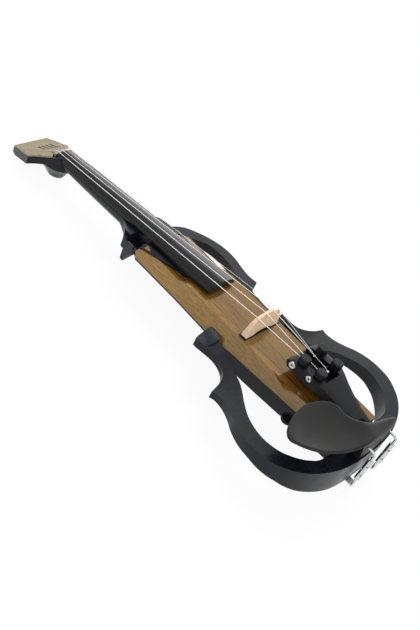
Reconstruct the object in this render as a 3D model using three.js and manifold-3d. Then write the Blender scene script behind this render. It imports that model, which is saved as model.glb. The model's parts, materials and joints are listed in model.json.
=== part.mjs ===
// An electric violin lying on its back: a bevelled wood top on a black core, a bent frame with two
// bouts, a headless neck and four worm tuners at the tail. Millimetres, X to the treble side, Y to the
// headstock, Z up through the strings.
import * as THREE from 'three';
import { mergeVertices } from 'three/addons/utils/BufferGeometryUtils.js';
import Module from 'manifold-3d';

const wasm = await Module();
wasm.setup();

// Clearances
const weldReach = 1e-5;
const seatGap = 0.3;
const turnGap = 0.4;
const overrun = 6;

// Playing length, measured from the crown of the bridge to the nut
const stringLength = 328;
const tailReach = 166;
const headReach = 54;
const floorHeight = 3.5;

// Body: a core with a wood top, its sections given along the length from the bridge
const bodyFront = 154;
const tailSetback = 22;
const bodyBack = tailReach - tailSetback;
const coreBottom = 23.2;
const woodBottom = 42;
const woodEdge = 1.6;
const plateauHeight = 57.7;
const neckBedShare = 0.4539;
const neckBedHeight = woodBottom + woodEdge + neckBedShare * (plateauHeight - woodBottom - woodEdge);
const bodyHalfWidth = 42.5;
const plateauHalfWidth = 30;
const keelHalfWidth = 24;

// Electronics bay in the back of the core
const bayHalfWidth = 21;
const bayFront = 10;
const bayInset = 26;
const bayBack = bayInset - bodyBack;
const coverThickness = 2;
const coverLedge = 3.5;
const coverScrewRadius = 1.5;
const coverScrewHead = 1.9;
const coverScrewLength = 7;
const coverScrewRise = 1;
const batteryLength = 48.5;
const batteryWidth = 26.5;
const batteryDepth = 16.2;
const batteryTerminal = 2.4;
const doorLength = 54;
const doorWidth = 31;
const doorInset = 6;
const doorBack = bayBack + doorInset;
const boardThickness = 1.6;
const boardStandoff = 4;
const boardInset = 4.5;
const boardLength = bayFront - coverLedge - boardInset - doorBack - doorLength;

// Frame
const lowerHalfWidth = 106;
const frameTop = 45;
const frameDepth = 9;
const loopHalfWidth = 73.5;
const loopTop = 43;
const loopDepth = 11;
const frameSeam = 8;
const lugPadBottom = 46;
const hornSeam = 34;

// Neck, fingerboard and headstock
const nutHalfWidth = 12;
const boardEndHalfWidth = 20.9;
const boardEnd = 60.9;
const boardEndRise = 2.1;
const boardEndBottom = plateauHeight + boardEndRise;
const boardNutBottom = 34;
const boardEdge = 4.4;
const boardRadius = 42;
const nutLength = 5;
const neckDepth = 12;
const heelHalfWidth = 27;
const heelBottom = 24;
const heelFront = 198;
const stemHalfWidth = 33;
const hornDepth = 5;
const hornHalfWidth = 61;
const hornReach = 190.1;
const headPlaneHeight = 37.2;
const headSlope = 0.46;
const headThickness = 11.2;
const veneerThickness = 2;
const headHalfWidth = 38;
const chinHalfWidth = 12;
const chinHeight = 22;
const slotWidth = 2.2;
const slotDepth = 4.6;
const slotReach = 32;
const neckScrewRadius = 2.2;
const neckScrewHead = 4;
const neckScrewSink = 3;
const neckScrewGrip = 2.6;
const neckScrewShares = [0.65, 0.76];

// Strings
const nutOuterSpan = 8.4;
const nutInnerSpan = 2.8;
const bridgeOuterSpan = 16.5;
const bridgeInnerSpan = 5.5;
const nutOuterHeight = 40.3;
const nutInnerHeight = 41.3;
const bridgeOuterRise = 23.2;
const bridgeInnerRise = 26.4;
const bridgeOuterHeight = plateauHeight + bridgeOuterRise;
const bridgeInnerHeight = plateauHeight + bridgeInnerRise;
const ballRadius = 1.5;

// Bridge and its pickup
const bridgeFootHalfWidth = 25.8;
const bridgeThickness = 7.5;
const bridgeCrownThickness = 3;
const bridgeSeat = plateauHeight + seatGap;
const slotHalfLength = 28.6;
const slotHalfWidth = 5;
const pickupDepth = 4.7;
const pickupBed = plateauHeight - pickupDepth;
const leadRadius = 1;
const leadPlace = 16;

// Tailpiece with its four worm tuners
const blockFront = 50.5;
const blockLength = 43.5;
const blockBack = blockFront + blockLength;
const blockHalfWidth = 22.6;
const blockTopRise = 22.1;
const blockBottomRise = 11.3;
const blockTop = plateauHeight + blockTopRise;
const blockBottom = plateauHeight + blockBottomRise;
const channelHalfWidth = 11.6;
const channelFloorRise = 2.2;
const channelFloor = blockBottom + channelFloorRise;
const tailEndSetback = 19;
const tailEnd = tailReach - tailEndSetback;
const tailHalfWidth = 12;
const tailScrewRadius = 2;
const tailScrewHead = 3.8;
const tailScrewPlaceShare = 0.955;
const tailScrewDepth = 12;
const tailScrewRise = 4.4;
const spoolFrontRise = 5.6;
const spoolRearRise = 6;
const spoolFrontInset = 8.1;
const spoolPitch = 21;
const spoolHeightFront = blockBottom + spoolFrontRise;
const spoolHeightRear = blockBottom + spoolRearRise;
const spoolFront = blockFront + spoolFrontInset;
const spoolRear = spoolFront + spoolPitch;
const wormReach = 5.9;
const drumRadius = 2.6;
const drumLength = 4.8;
const gearRadius = 3.4;
const gearTooth = 0.7;
const gearWidth = 4.2;
const gearTeeth = 14;
const wormRadius = 1.7;
const knobRadius = 6;
const knobHeight = 8;
const knobFlutes = 22;
const knobFlute = 0.35;
const spoolScrewRadius = 3.6;
const spoolScrewHead = 1.6;
const screwInset = 2.08;
const spoolBoreRadius = 1.6;
const spoolScrewShank = 5;

// Chinrest and its clamps
const chinHalfLength = 45;
const chinWall = 3.2;
const chinRimRise = 18.3;
const chinRim = plateauHeight + chinRimRise;
const chinCup = 7;
const cupHalfLength = 42;
const cupHalfWidth = 38;
const armFall = 5;
const chinCentreX = -52;
const chinCentreInset = 25;
const chinCentreY = chinCentreInset - tailReach;
const archMargin = 1.5;
const archDepth = 3;
const archWall = 5.1;
const chinBaseHalfWidth = 26.8;
const chinBaseCentre = 7.7;
const chinBaseDepth = 12.1;
const chinBaseInset = 1.4;
const chinBaseBack = tailReach - chinBaseInset;
const chinBaseFront = chinBaseBack - chinBaseDepth;
const corkThickness = 1.6;
const clampSpan = 39;
const clampCentre = 12.5;
const clampOffset = 6.5;
const barrelRadius = 3;
const barrelLength = 31;
const rodRadius = 1.4;
const barrelBottom = 14;
const threadGrip = 9;
const footThickness = 2;
const footReach = 16;
const footWidth = 8;
const armHeight = 54;
const armReach = 9;
const armBend = 2.1;

// Controls and sockets on the sides of the core
const wheelRadius = 7;
const wheelThickness = 3.4;
const wheelProud = 8;
const wheelHeight = 27.4;
const wheelPlace = -88;
const jackRadius = 5.5;
const jackBore = 3.3;
const jackDepth = 14;
const jackFlange = 1.6;
const jackPlace = -52;
const phonePlace = -30;
const phoneRadius = 4;
const phoneBore = 1.8;
const socketHeight = 34;
const switchLength = 5;
const switchWidth = 4;
const switchTravel = 3;
const switchProud = 1;
const switchBase = 2;

// Materials
const paint = {
  shell: new THREE.MeshStandardMaterial({ color: 0x26282a, roughness: 0.55, metalness: 0 }),
  wood: new THREE.MeshStandardMaterial({ color: 0x8f7650, roughness: 0.5, metalness: 0 }),
  veneer: new THREE.MeshStandardMaterial({ color: 0xa8a489, roughness: 0.55, metalness: 0 }),
  ebony: new THREE.MeshStandardMaterial({ color: 0x2a2b2c, roughness: 0.45, metalness: 0 }),
  maple: new THREE.MeshStandardMaterial({ color: 0xd8b89a, roughness: 0.6, metalness: 0 }),
  bone: new THREE.MeshStandardMaterial({ color: 0xd9d2c0, roughness: 0.4, metalness: 0 }),
  steel: new THREE.MeshStandardMaterial({ color: 0xc9cbcc, roughness: 0.3, metalness: 1 }),
  chrome: new THREE.MeshStandardMaterial({ color: 0xe6e6e6, roughness: 0.1, metalness: 1 }),
  casting: new THREE.MeshStandardMaterial({ color: 0x24262a, roughness: 0.5, metalness: 0.3 }),
  chin: new THREE.MeshStandardMaterial({ color: 0x3e3e3e, roughness: 0.6, metalness: 0 }),
  cork: new THREE.MeshStandardMaterial({ color: 0xa67a4e, roughness: 0.9, metalness: 0 }),
  circuit: new THREE.MeshStandardMaterial({ color: 0x1f5a36, roughness: 0.5, metalness: 0 }),
};

// Solids

function solidOf(geometry) {
  const bare = geometry.index ? geometry.clone() : geometry;
  bare.deleteAttribute('normal');
  bare.deleteAttribute('uv');
  const merged = mergeVertices(bare, weldReach);
  const triangles = [];
  for (let i = 0; i < merged.index.count; i += 3) {
    const [a, b, c] = [0, 1, 2].map((k) => merged.index.getX(i + k));
    if (a !== b && b !== c && c !== a) triangles.push(a, b, c);
  }
  const vertProperties = new Float32Array(merged.attributes.position.array);
  const triVerts = new Uint32Array(triangles);
  return new wasm.Manifold(new wasm.Mesh({ numProp: 3, vertProperties, triVerts }));
}

function geometryOf(solid) {
  const mesh = solid.getMesh();
  const geometry = new THREE.BufferGeometry();
  geometry.setAttribute('position', new THREE.BufferAttribute(new Float32Array(mesh.vertProperties), 3));
  geometry.setIndex(new THREE.BufferAttribute(new Uint32Array(mesh.triVerts), 1));
  geometry.computeVertexNormals();
  return geometry;
}

function signedVolume(positions, index) {
  const [a, b, c] = [new THREE.Vector3(), new THREE.Vector3(), new THREE.Vector3()];
  let volume = 0;
  for (let i = 0; i < index.length; i += 3) {
    a.fromArray(positions, index[i] * 3);
    b.fromArray(positions, index[i + 1] * 3);
    c.fromArray(positions, index[i + 2] * 3);
    volume += a.dot(b.cross(c));
  }
  return volume;
}

// A ring seen along the axis that it faces most
function flattened(ring) {
  const normal = new THREE.Vector3();
  ring.forEach((point, i) => normal.add(point.clone().cross(ring[(i + 1) % ring.length])));
  const [x, y, z] = normal.toArray().map(Math.abs);
  if (y >= x && y >= z) return ring.map((point) => new THREE.Vector2(point.x, point.z));
  if (z >= x) return ring.map((point) => new THREE.Vector2(point.x, point.y));
  return ring.map((point) => new THREE.Vector2(point.y, point.z));
}

// A closed solid through rings of points, each ring with the same number of points
function loft(rings) {
  const count = rings[0].length;
  const positions = rings.flat().flatMap((point) => point.toArray());
  const index = [];
  for (let r = 0; r < rings.length - 1; r += 1) {
    for (let i = 0; i < count; i += 1) {
      const a = r * count + i;
      const b = r * count + ((i + 1) % count);
      index.push(a, b, b + count, a, b + count, a + count);
    }
  }
  const cap = (ring, start, ascending) => {
    const flat = flattened(ring);
    const ringTurn = Math.sign(THREE.ShapeUtils.area(flat));
    for (const [a, b, c] of THREE.ShapeUtils.triangulateShape(flat, [])) {
      const keep = THREE.ShapeUtils.area([flat[a], flat[b], flat[c]]) * ringTurn > 0 === ascending;
      index.push(start + a, start + (keep ? b : c), start + (keep ? c : b));
    }
  };
  cap(rings[0], 0, false);
  cap(rings[rings.length - 1], (rings.length - 1) * count, true);
  if (signedVolume(positions, index) < 0) {
    for (let i = 0; i < index.length; i += 3) [index[i + 1], index[i + 2]] = [index[i + 2], index[i + 1]];
  }
  const geometry = new THREE.BufferGeometry();
  geometry.setAttribute('position', new THREE.Float32BufferAttribute(positions, 3));
  geometry.setIndex(index);
  return solidOf(geometry);
}

function box(xMin, xMax, yMin, yMax, zMin, zMax) {
  const geometry = new THREE.BoxGeometry(xMax - xMin, yMax - yMin, zMax - zMin);
  geometry.translate((xMin + xMax) / 2, (yMin + yMax) / 2, (zMin + zMax) / 2);
  return solidOf(geometry);
}

function disc(radius, bottom, top, x, y, sides = 24, topRadius = radius) {
  const geometry = new THREE.CylinderGeometry(topRadius, radius, top - bottom, sides);
  geometry.rotateX(Math.PI / 2);
  geometry.translate(x, y, (bottom + top) / 2);
  return solidOf(geometry);
}

function rodAlongX(radius, xMin, xMax, y, z, sides = 24) {
  const geometry = new THREE.CylinderGeometry(radius, radius, xMax - xMin, sides);
  geometry.rotateZ(Math.PI / 2);
  geometry.translate((xMin + xMax) / 2, y, z);
  return solidOf(geometry);
}

// An outline in the plane of the frame, pulled up from bottom to top
function plate(points, bottom, top) {
  const geometry = new THREE.ExtrudeGeometry(new THREE.Shape(points),
    { depth: top - bottom, bevelEnabled: false });
  geometry.translate(0, 0, bottom);
  return solidOf(geometry);
}

// A side view outline, given as length and height, pulled across the width
function sideProfile(points, xMin, xMax) {
  const geometry = new THREE.ExtrudeGeometry(new THREE.Shape(points),
    { depth: xMax - xMin, bevelEnabled: false });
  geometry.applyMatrix4(new THREE.Matrix4().set(0, 0, 1, xMin, 1, 0, 0, 0, 0, 1, 0, 0, 0, 0, 0, 1));
  return solidOf(geometry);
}

const outline = (shares, width, length) => shares.map(([x, y]) => new THREE.Vector2(x * width, y * length));

function smooth(points, perSpan = 3) {
  return new THREE.SplineCurve(points).getPoints((points.length - 1) * perSpan);
}

const mirrored = (points) => points.map((point) => new THREE.Vector2(-point.x, point.y));

// A round wire through bend points, its rings square to the bisector of each bend
function wire(points, radius, sides = 6) {
  const rings = points.map((point, i) => {
    const before = points[Math.max(i - 1, 0)];
    const after = points[Math.min(i + 1, points.length - 1)];
    const along = after.clone().sub(before).normalize();
    const side = new THREE.Vector3(1, 0, 0).addScaledVector(along, -along.x).normalize();
    const up = side.clone().cross(along);
    return Array.from({ length: sides }, (_, k) => {
      const turn = ((k + 0.5) * 2 * Math.PI) / sides;
      return point.clone().addScaledVector(side, radius * Math.cos(turn))
        .addScaledVector(up, radius * Math.sin(turn));
    });
  });
  return loft(rings);
}

// The assembly stands with the middle of its length at the origin
const violin = new THREE.Group();
violin.position.z = -floorHeight;
violin.position.y = (tailReach + clampOffset + barrelRadius - stringLength - headReach) / 2;

function addPiece(name, solid, material) {
  const mesh = new THREE.Mesh(geometryOf(solid), material);
  mesh.name = name;
  violin.add(mesh);
}

// Body sections as shares of its front or back length, its half widths and the plateau rise
const bodyStationShares = [
  [1, 0.86, 0.83, 0, 0.8],
  [0.955, 0.975, 0.86, 0, 0.9],
  [0.63, 0.965, 0.88, 0.02, 0.97],
  [0.55, 0.965, 0.97, 0.8, 0.98],
  [0.46, 0.97, 1, 1, 1],
  [0.22, 1, 1, 1, 1],
  [0.08, 0.965, 0.995, 1, 1.25],
  [-0.035, 0.905, 0.99, 1, 1.58],
  [-0.32, 0.835, 0.98, 1, 1.47],
  [-0.62, 0.74, 0.965, 1, 1.3],
  [-1, 0.7, 0.95, 1, 1.23],
];

function bodyStation([place, edge, ridge, rise, keel]) {
  return {
    y: place * (place > 0 ? bodyFront : bodyBack),
    edge: edge * bodyHalfWidth,
    ridge: ridge * plateauHalfWidth,
    top: neckBedHeight + rise * (plateauHeight - neckBedHeight),
    keel: keel * keelHalfWidth,
  };
}

// Wood top and core, also made a gap larger all round to cut what lies against them
function woodSolid(grow) {
  const rings = bodyStationShares.map(bodyStation).map(({ y, edge, ridge, top }, i, all) => {
    const place = y + (i === 0 ? grow : 0) - (i === all.length - 1 ? grow : 0);
    return [[-edge - grow, woodBottom - grow], [edge + grow, woodBottom - grow],
      [edge + grow, woodBottom + woodEdge + grow],
      [ridge + grow, top + grow], [-ridge - grow, top + grow], [-edge - grow, woodBottom + woodEdge + grow]]
      .map(([x, z]) => new THREE.Vector3(x, place, z));
  });
  return loft(rings);
}

function coreSolid(grow) {
  const rings = bodyStationShares.map(bodyStation).map(({ y, edge, keel }, i, all) => {
    const place = y + (i === 0 ? grow : 0) - (i === all.length - 1 ? grow : 0);
    const top = woodBottom - seatGap + grow;
    const side = woodBottom - seatGap - woodEdge - grow;
    return [[-keel - grow, coreBottom - grow], [keel + grow, coreBottom - grow], [edge + grow, side],
      [edge + grow, top], [-edge - grow, top], [-edge - grow, side]]
      .map(([x, z]) => new THREE.Vector3(x, place, z));
  });
  return loft(rings);
}

const bodyRoom = woodSolid(seatGap).add(coreSolid(seatGap));

// Fingerboard lines
const boardTaper = (boardEndHalfWidth - nutHalfWidth) / (stringLength - boardEnd);
const boardRise = (boardEndBottom - boardNutBottom) / (stringLength - boardEnd);
const boardHalfAt = (y) => nutHalfWidth + (stringLength - y) * boardTaper;
const boardBottomAt = (y) => boardNutBottom + (stringLength - y) * boardRise;

function fingerboard() {
  const camberSteps = 8;
  const front = stringLength - nutLength / 2;
  const ring = (y) => {
    const half = boardHalfAt(y);
    const sag = boardRadius - Math.sqrt(boardRadius ** 2 - half ** 2);
    const points = [new THREE.Vector3(half, y, boardBottomAt(y)),
      new THREE.Vector3(-half, y, boardBottomAt(y))];
    for (let i = 0; i <= camberSteps; i += 1) {
      const x = -half + (2 * half * i) / camberSteps;
      const drop = boardRadius - Math.sqrt(boardRadius ** 2 - x ** 2);
      points.push(new THREE.Vector3(x, y, boardBottomAt(y) + boardEdge + sag - drop));
    }
    return points;
  };
  return loft([ring(boardEnd), ring(front - seatGap)]);
}

// Neck sections: place, half width and bottom height, as shares of the neck's own sizes
const neckFlareShare = 0.9;
const neckStationShares = [
  [0.985, 1, 1.0],
  [0.9, 0.98, 0.85],
  [0.8, 1.02, 0.94],
  [0.66, 1.1, 1.06],
  [0.44, 1.2, 1.2],
  [0.2, 1.32, 1.34],
];

function neckRing(y, half, top, bottom, power) {
  const steps = 14;
  return Array.from({ length: steps + 1 }, (_, i) => {
    const turn = (Math.PI * i) / steps;
    const c = Math.cos(turn);
    const s = Math.sin(turn);
    const x = Math.sign(c) * Math.abs(c) ** (2 / power) * half;
    return new THREE.Vector3(x, y, top - s ** (2 / power) * (top - bottom));
  });
}

const neckTopAt = (y) => boardBottomAt(y) - seatGap;
const headTopAt = (y) => headPlaneHeight - headSlope * (y - stringLength);
const headTilt = Math.atan(headSlope);
const headPerUp = 1 / Math.cos(headTilt);

// Headstock outlines as shares of its half width and its reach past the nut
const headOutlineShares = [
  [-0.31, -0.26], [-0.5, -0.15], [-0.6, -0.07], [-0.68, 0.02], [-0.78, 0.13], [-0.88, 0.2], [-1, 0.26],
  [-0.645, 1], [0.645, 1], [0.56, 0.26], [0.5, 0.2], [0.32, 0.12], [0.32, -0.26],
];
const headOutline = outline(headOutlineShares, headHalfWidth, headReach)
  .map((point) => new THREE.Vector2(point.x, point.y + stringLength));

function slab(outlinePoints, topDrop, thickness) {
  const back = stringLength - headReach;
  const front = stringLength + headReach + overrun;
  const line = (drop, y) => new THREE.Vector2(y, headTopAt(y) - drop * headPerUp);
  const profile = [line(topDrop + thickness, back), line(topDrop + thickness, front), line(topDrop, front),
    line(topDrop, back)];
  const span = sideProfile(profile, -headHalfWidth - overrun, headHalfWidth + overrun);
  return span.intersect(plate(outlinePoints, -headHalfWidth, 2 * headHalfWidth));
}

// Room for the nut and the fingerboard in the pieces below and beside them
const nutRoomFront = stringLength + nutLength / 2 + seatGap;
function nutRoom() {
  const half = nutHalfWidth + seatGap;
  const ring = (y) => {
    const side = boardHalfAt(y) + seatGap;
    return [[-side, boardBottomAt(y) - seatGap], [side, boardBottomAt(y) - seatGap],
      [side, plateauHeight + overrun], [-side, plateauHeight + overrun]]
      .map(([x, z]) => new THREE.Vector3(x, y, z));
  };
  return box(-half, half, stringLength - nutLength, nutRoomFront, headPlaneHeight - 2 * nutLength,
    plateauHeight)
    .add(loft([ring(stringLength - 2 * headReach), ring(stringLength)]));
}

// Everything above the headstock's core, which the veneer and the strings need free
function headRoom() {
  const half = headHalfWidth + overrun;
  const back = stringLength - headReach / 2;
  const front = stringLength + headReach + overrun;
  const around = [[-half, back], [half, back], [half, front], [-half, front]]
    .map(([x, y]) => new THREE.Vector2(x, y));
  return slab(around, -plateauHeight, plateauHeight + veneerThickness + seatGap);
}

// The string slots run from the nut down into the headstock
function stringSlots() {
  let slots;
  for (const span of [-nutOuterSpan, -nutInnerSpan, nutInnerSpan, nutOuterSpan]) {
    const xMin = span - slotWidth / 2;
    const xMax = span + slotWidth / 2;
    const front = stringLength + slotReach;
    const line = (y, up) => new THREE.Vector2(y, headTopAt(y) + up);
    const profile = [line(stringLength, -slotDepth), line(front, -slotDepth), line(front, overrun),
      line(stringLength, overrun)];
    const slot = sideProfile(profile, xMin, xMax);
    slots = slots ? slots.add(slot) : slot;
  }
  return slots;
}

// Chin bump under the headstock: height share, half width, half length and middle past the nut
const chinRingShares = [
  [0, 0.5, 0.6, 0], [0.09, 0.82, 0.95, 0.14], [0.26, 1, 1.18, 0.2], [0.45, 1.22, 1.4, 0.24],
  [0.66, 1.55, 1.82, 0.34], [0.9, 1.85, 2.2, 0.36], [1.2, 1.6, 2.1, 0.28], [1.5, 1.12, 1.75, 0.12],
];

function chinBump() {
  const sides = 20;
  return loft(chinRingShares.map(([rise, wide, long, middle]) => Array.from({ length: sides }, (_, i) => {
    const turn = ((i + 0.5) * 2 * Math.PI) / sides;
    return new THREE.Vector3(wide * chinHalfWidth * Math.cos(turn),
      stringLength + (middle + long * Math.sin(turn)) * chinHalfWidth, floorHeight + rise * chinHeight);
  })));
}

// Neck stem on the wood: place along the front, half width and height of its side above the bed
const stemStationShares = [
  [0.578, 0.45, 0.6], [0.67, 0.55, 0.45], [0.825, 0.79, 0.12], [1.04, 1.01, -0.34],
];

// Horn plate at the heel: the stub of the missing bass bout, mirrored as the seat of the treble one
const hornShares = [
  [0.236, 1.1], [0.23, 1.068], [0.28, 1.018], [0.345, 0.992], [0.51, 0.945], [0.66, 0.908],
  [0.672, 0.882], [0.885, 0.829], [0.893, 0.803], [0.59, 0.815],
];

// Heel sections: place from the heel along the neck, half width and lift of the bottom
const heelStationShares = [
  [0.046, 0.6, 0.62], [0.008, 0.62, 0.33], [-0.023, 0.67, 0.08], [-0.06, 0.75, 0], [-0.11, 0.9, 0],
  [-0.16, 1, 0], [-0.36, 1.04, 0],
];

function neck() {
  const rings = neckStationShares.map(([place, wide, deep]) => {
    const y = heelFront + place * (stringLength - heelFront);
    const half = Math.min(nutHalfWidth * wide, boardHalfAt(y));
    return neckRing(y, half + (boardHalfAt(y) - half) * neckFlareShare, neckTopAt(y),
      neckTopAt(y) - neckDepth * deep, 2.2);
  });
  for (const [place, wide, lift] of heelStationShares) {
    const y = heelFront + place * (stringLength - heelFront);
    rings.push(neckRing(y, heelHalfWidth * wide, neckTopAt(y), heelBottom + lift * neckDepth, 3));
  }
  const stem = loft(stemStationShares.map(([place, wide, rise]) => {
    const y = place * bodyFront;
    const half = wide * stemHalfWidth;
    const side = neckBedHeight + rise * (plateauHeight - neckBedHeight);
    const [board, top] = [boardHalfAt(y), neckTopAt(y)];
    return [[-board, top], [-half, side], [-half, woodBottom], [half, woodBottom], [half, side], [board, top]]
      .map(([x, z]) => new THREE.Vector3(x, y, z));
  }));
  const bassHorn = outline(hornShares, hornHalfWidth, hornReach);
  const hornOutline = [...mirrored(bassHorn), ...bassHorn.slice().reverse()];
  const seam = box(hornSeam, loopHalfWidth, frameSeam, heelFront + stringLength, floorHeight, plateauHeight);
  const horns = plate(hornOutline, loopTop - hornDepth, loopTop).subtract(seam);
  const tip = stringLength + headReach;
  const lowest = box(-headHalfWidth, headHalfWidth, stringLength, tip + overrun, -plateauHeight,
    floorHeight);
  const headCore = slab(headOutline, veneerThickness + seatGap, headThickness - veneerThickness - seatGap)
    .subtract(lowest);
  const recess = box(-stemHalfWidth, -boardHalfAt(heelFront), bodyFront, heelFront - 2 * neckDepth,
    loopTop - nutLength, plateauHeight);
  return loft(rings).add(stem).add(horns).subtract(recess).add(chinBump()).subtract(headRoom()).add(headCore)
    .subtract(nutRoom()).subtract(stringSlots()).subtract(bodyRoom).subtract(neckScrewRoom());
}

const nutFallShare = 0.55;

// The veneer starts in front of the nut
function veneer() {
  const start = stringLength + nutLength / 2 - seatGap;
  const back = stringLength - headReach;
  const behind = [[-headHalfWidth, back], [headHalfWidth, back], [headHalfWidth, start], [-nutHalfWidth, start],
    [-headHalfWidth, start - headHalfWidth + nutHalfWidth]].map(([x, y]) => new THREE.Vector2(x, y));
  return slab(headOutline, 0, veneerThickness).subtract(plate(behind, 0, plateauHeight))
    .subtract(nutRoom()).subtract(stringSlots());
}

function nut() {
  const half = nutHalfWidth;
  const back = stringLength - nutLength / 2;
  const front = stringLength + nutLength / 2;
  const steps = 8;
  const ring = (y, drop) => {
    const points = [new THREE.Vector3(half, y, headPlaneHeight - 2 * nutLength + seatGap),
      new THREE.Vector3(-half, y, headPlaneHeight - 2 * nutLength + seatGap)];
    for (let i = 0; i <= steps; i += 1) {
      const x = -half + (2 * half * i) / steps;
      const fall = boardRadius - Math.sqrt(boardRadius ** 2 - x ** 2);
      points.push(new THREE.Vector3(x, y, nutInnerHeight - 2 * seatGap - fall - drop));
    }
    return points;
  };
  return loft([ring(back, 0), ring(stringLength, 0), ring(front, nutLength * nutFallShare)]);
}

// Screws through the back of the core into the neck stem
const neckScrewTop = neckBedHeight + neckScrewGrip;

function neckScrewRoom() {
  return neckScrewShares.map((share) => share * bodyFront)
    .map((y) => disc(neckScrewRadius + seatGap, coreBottom - overrun, neckScrewTop + seatGap, 0, y)
      .add(disc(neckScrewHead + seatGap, coreBottom - overrun, coreBottom + neckScrewSink + seatGap, 0, y)))
    .reduce((all, one) => all.add(one));
}

// Frame side view: the top falls to the lower corners and the lower bout deepens to the tail
const frameTopShares = [
  [-1.02, 1], [-0.9, 1], [-0.55, 0.98], [-0.36, 0.94], [-0.17, 0.89], [-0.08, 0.935], [0, 1.02],
  [0.1, 1.08], [0.24, 1.11],
];
const frameBottomShares = [
  [0.24, 0.9], [0.1, 0.86], [0, 0.81], [-0.17, 0.695], [-0.36, 0.695], [-0.5, 0.66], [-0.6, 0.64],
  [-0.7, 0.58], [-0.78, 0.51], [-0.84, 0.43], [-0.88, 0.37], [-0.94, 0.29], [-0.985, 0.22], [-1.02, 0.2],
];
const lowerOuterShares = [
  [0.867, -0.169], [0.844, -0.208], [0.854, -0.277], [0.896, -0.349], [0.948, -0.41], [0.986, -0.482],
  [1, -0.554], [0.996, -0.639], [0.97, -0.711], [0.906, -0.783], [0.83, -0.843], [0.717, -0.9],
  [0.566, -0.949], [0.396, -0.983], [0.189, -1], [0, -1],
];
const lowerInnerShares = [
  [0.2, -0.868], [0.434, -0.868], [0.54, -0.861], [0.623, -0.831], [0.689, -0.795], [0.755, -0.744],
  [0.802, -0.693], [0.83, -0.633], [0.84, -0.578], [0.83, -0.518], [0.802, -0.458], [0.759, -0.4],
  [0.684, -0.331], [0.585, -0.253], [0.52, -0.187], [0.485, -0.11], [0.455, -0.02], [0.43, 0.066],
];
const bassWaistShares = [
  [-0.37, 0.17], [-0.46, 0.178], [-0.6, 0.165], [-0.622, 0.15], [-0.608, 0.1], [-0.58, 0.04],
  [-0.57, -0.01], [-0.578, -0.05], [-0.605, -0.095], [-0.66, -0.128], [-0.74, -0.15], [-0.867, -0.169],
];
const trebleWaistShares = [
  [0.867, -0.169], [0.76, -0.152], [0.66, -0.12], [0.585, -0.075], [0.538, -0.02], [0.52, 0.048],
];

function frameSide(drop) {
  const profile = [...frameTopShares, ...frameBottomShares].map(([y, z]) =>
    new THREE.Vector2(y * tailReach, z * frameTop - drop));
  return sideProfile(profile, -lowerHalfWidth - overrun, lowerHalfWidth + overrun);
}

// The bass waist's end rises over the bevel: place across, span along, height of its top
const lugPadShares = [
  [-0.585, 0.078, 0.166, 1.076], [-0.49, 0.072, 0.175, 1.129], [-0.41, 0.081, 0.178, 1.164],
  [-0.387, 0.093, 0.175, 1.142],
];

function lugPad() {
  return loft(lugPadShares.map(([wide, back, front, rise]) => {
    const [yMin, yMax, top] = [back * tailReach, front * tailReach, rise * frameTop];
    return [[yMin, lugPadBottom], [yMax, lugPadBottom], [yMax, top], [yMin, top]]
      .map(([y, z]) => new THREE.Vector3(wide * lowerHalfWidth, y, z));
  }));
}

function lowerFrame() {
  const lower = (shares) => outline(shares, lowerHalfWidth, tailReach);
  const outer = smooth(lower(lowerOuterShares));
  const inner = smooth(lower(lowerInnerShares));
  const bassWaist = smooth(lower(bassWaistShares));
  const trebleWaist = smooth(lower(trebleWaistShares));
  const bass = [...bassWaist, ...mirrored(outer).slice(1), ...outer.slice(0, -1).reverse(),
    ...trebleWaist.slice(1)];
  const trebleInner = smooth(lower(lowerInnerShares.slice(0, -1))).reverse();
  const around = [...bass, new THREE.Vector2(bodyHalfWidth / 2, frameSeam), ...trebleInner,
    ...mirrored(inner)];
  return plate(around, -overrun, 2 * frameTop).intersect(frameSide(0)).add(lugPad()).subtract(bodyRoom);
}

// Upper bout on the treble side: from the heel out to its corner, then in along the waist
const loopOuterShares = [
  [0.36, 1.115], [0.42, 1.112], [0.67, 1.053], [0.87, 0.91], [0.965, 0.78], [0.975, 0.65], [0.925, 0.54],
  [0.9, 0.46], [0.92, 0.38],
];
const loopWaistShares = [
  [0.92, 0.38], [0.8, 0.352], [0.715, 0.335], [0.69, 0.29], [0.675, 0.225], [0.668, 0.15], [0.69, 0.054],
];
const loopInnerShares = [
  [0.4, 0.4], [0.66, 0.44], [0.71, 0.51], [0.77, 0.58], [0.8, 0.66], [0.8, 0.75], [0.76, 0.84],
  [0.69, 0.89], [0.5, 0.985], [0.36, 1.02],
];

function upperFrame() {
  const upper = (shares) => smooth(outline(shares, loopHalfWidth, bodyFront));
  const inside = new THREE.Vector2(bodyHalfWidth / 2, frameSeam + seatGap);
  const around = [...upper(loopOuterShares), ...upper(loopWaistShares).slice(1), inside,
    ...upper(loopInnerShares)];
  const heelRoom = box(floorHeight, hornSeam + seatGap, bodyFront - 2 * seatGap, heelFront + loopDepth,
    floorHeight, plateauHeight);
  return plate(around, loopTop - loopDepth, loopTop).subtract(bodyRoom).subtract(heelRoom);
}

// Pickup bed across the wood top, with the lead's hole below it
function pickupRoom() {
  return box(-slotHalfLength, slotHalfLength, -slotHalfWidth, slotHalfWidth, pickupBed,
    plateauHeight + overrun)
    .add(disc(leadRadius + seatGap, woodBottom - overrun, pickupBed + overrun, leadPlace, 0, 12));
}

function woodTop() {
  return woodSolid(0).subtract(pickupRoom()).subtract(neckScrewRoom()).subtract(tailScrewRoom());
}

function bridgePickup() {
  const half = slotHalfLength - seatGap;
  const wide = slotHalfWidth - seatGap;
  return box(-half, half, -wide, wide, pickupBed + seatGap, plateauHeight);
}

function pickupLead() {
  return disc(leadRadius, woodBottom - boardStandoff + seatGap, pickupBed, leadPlace, 0, 8);
}

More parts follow.
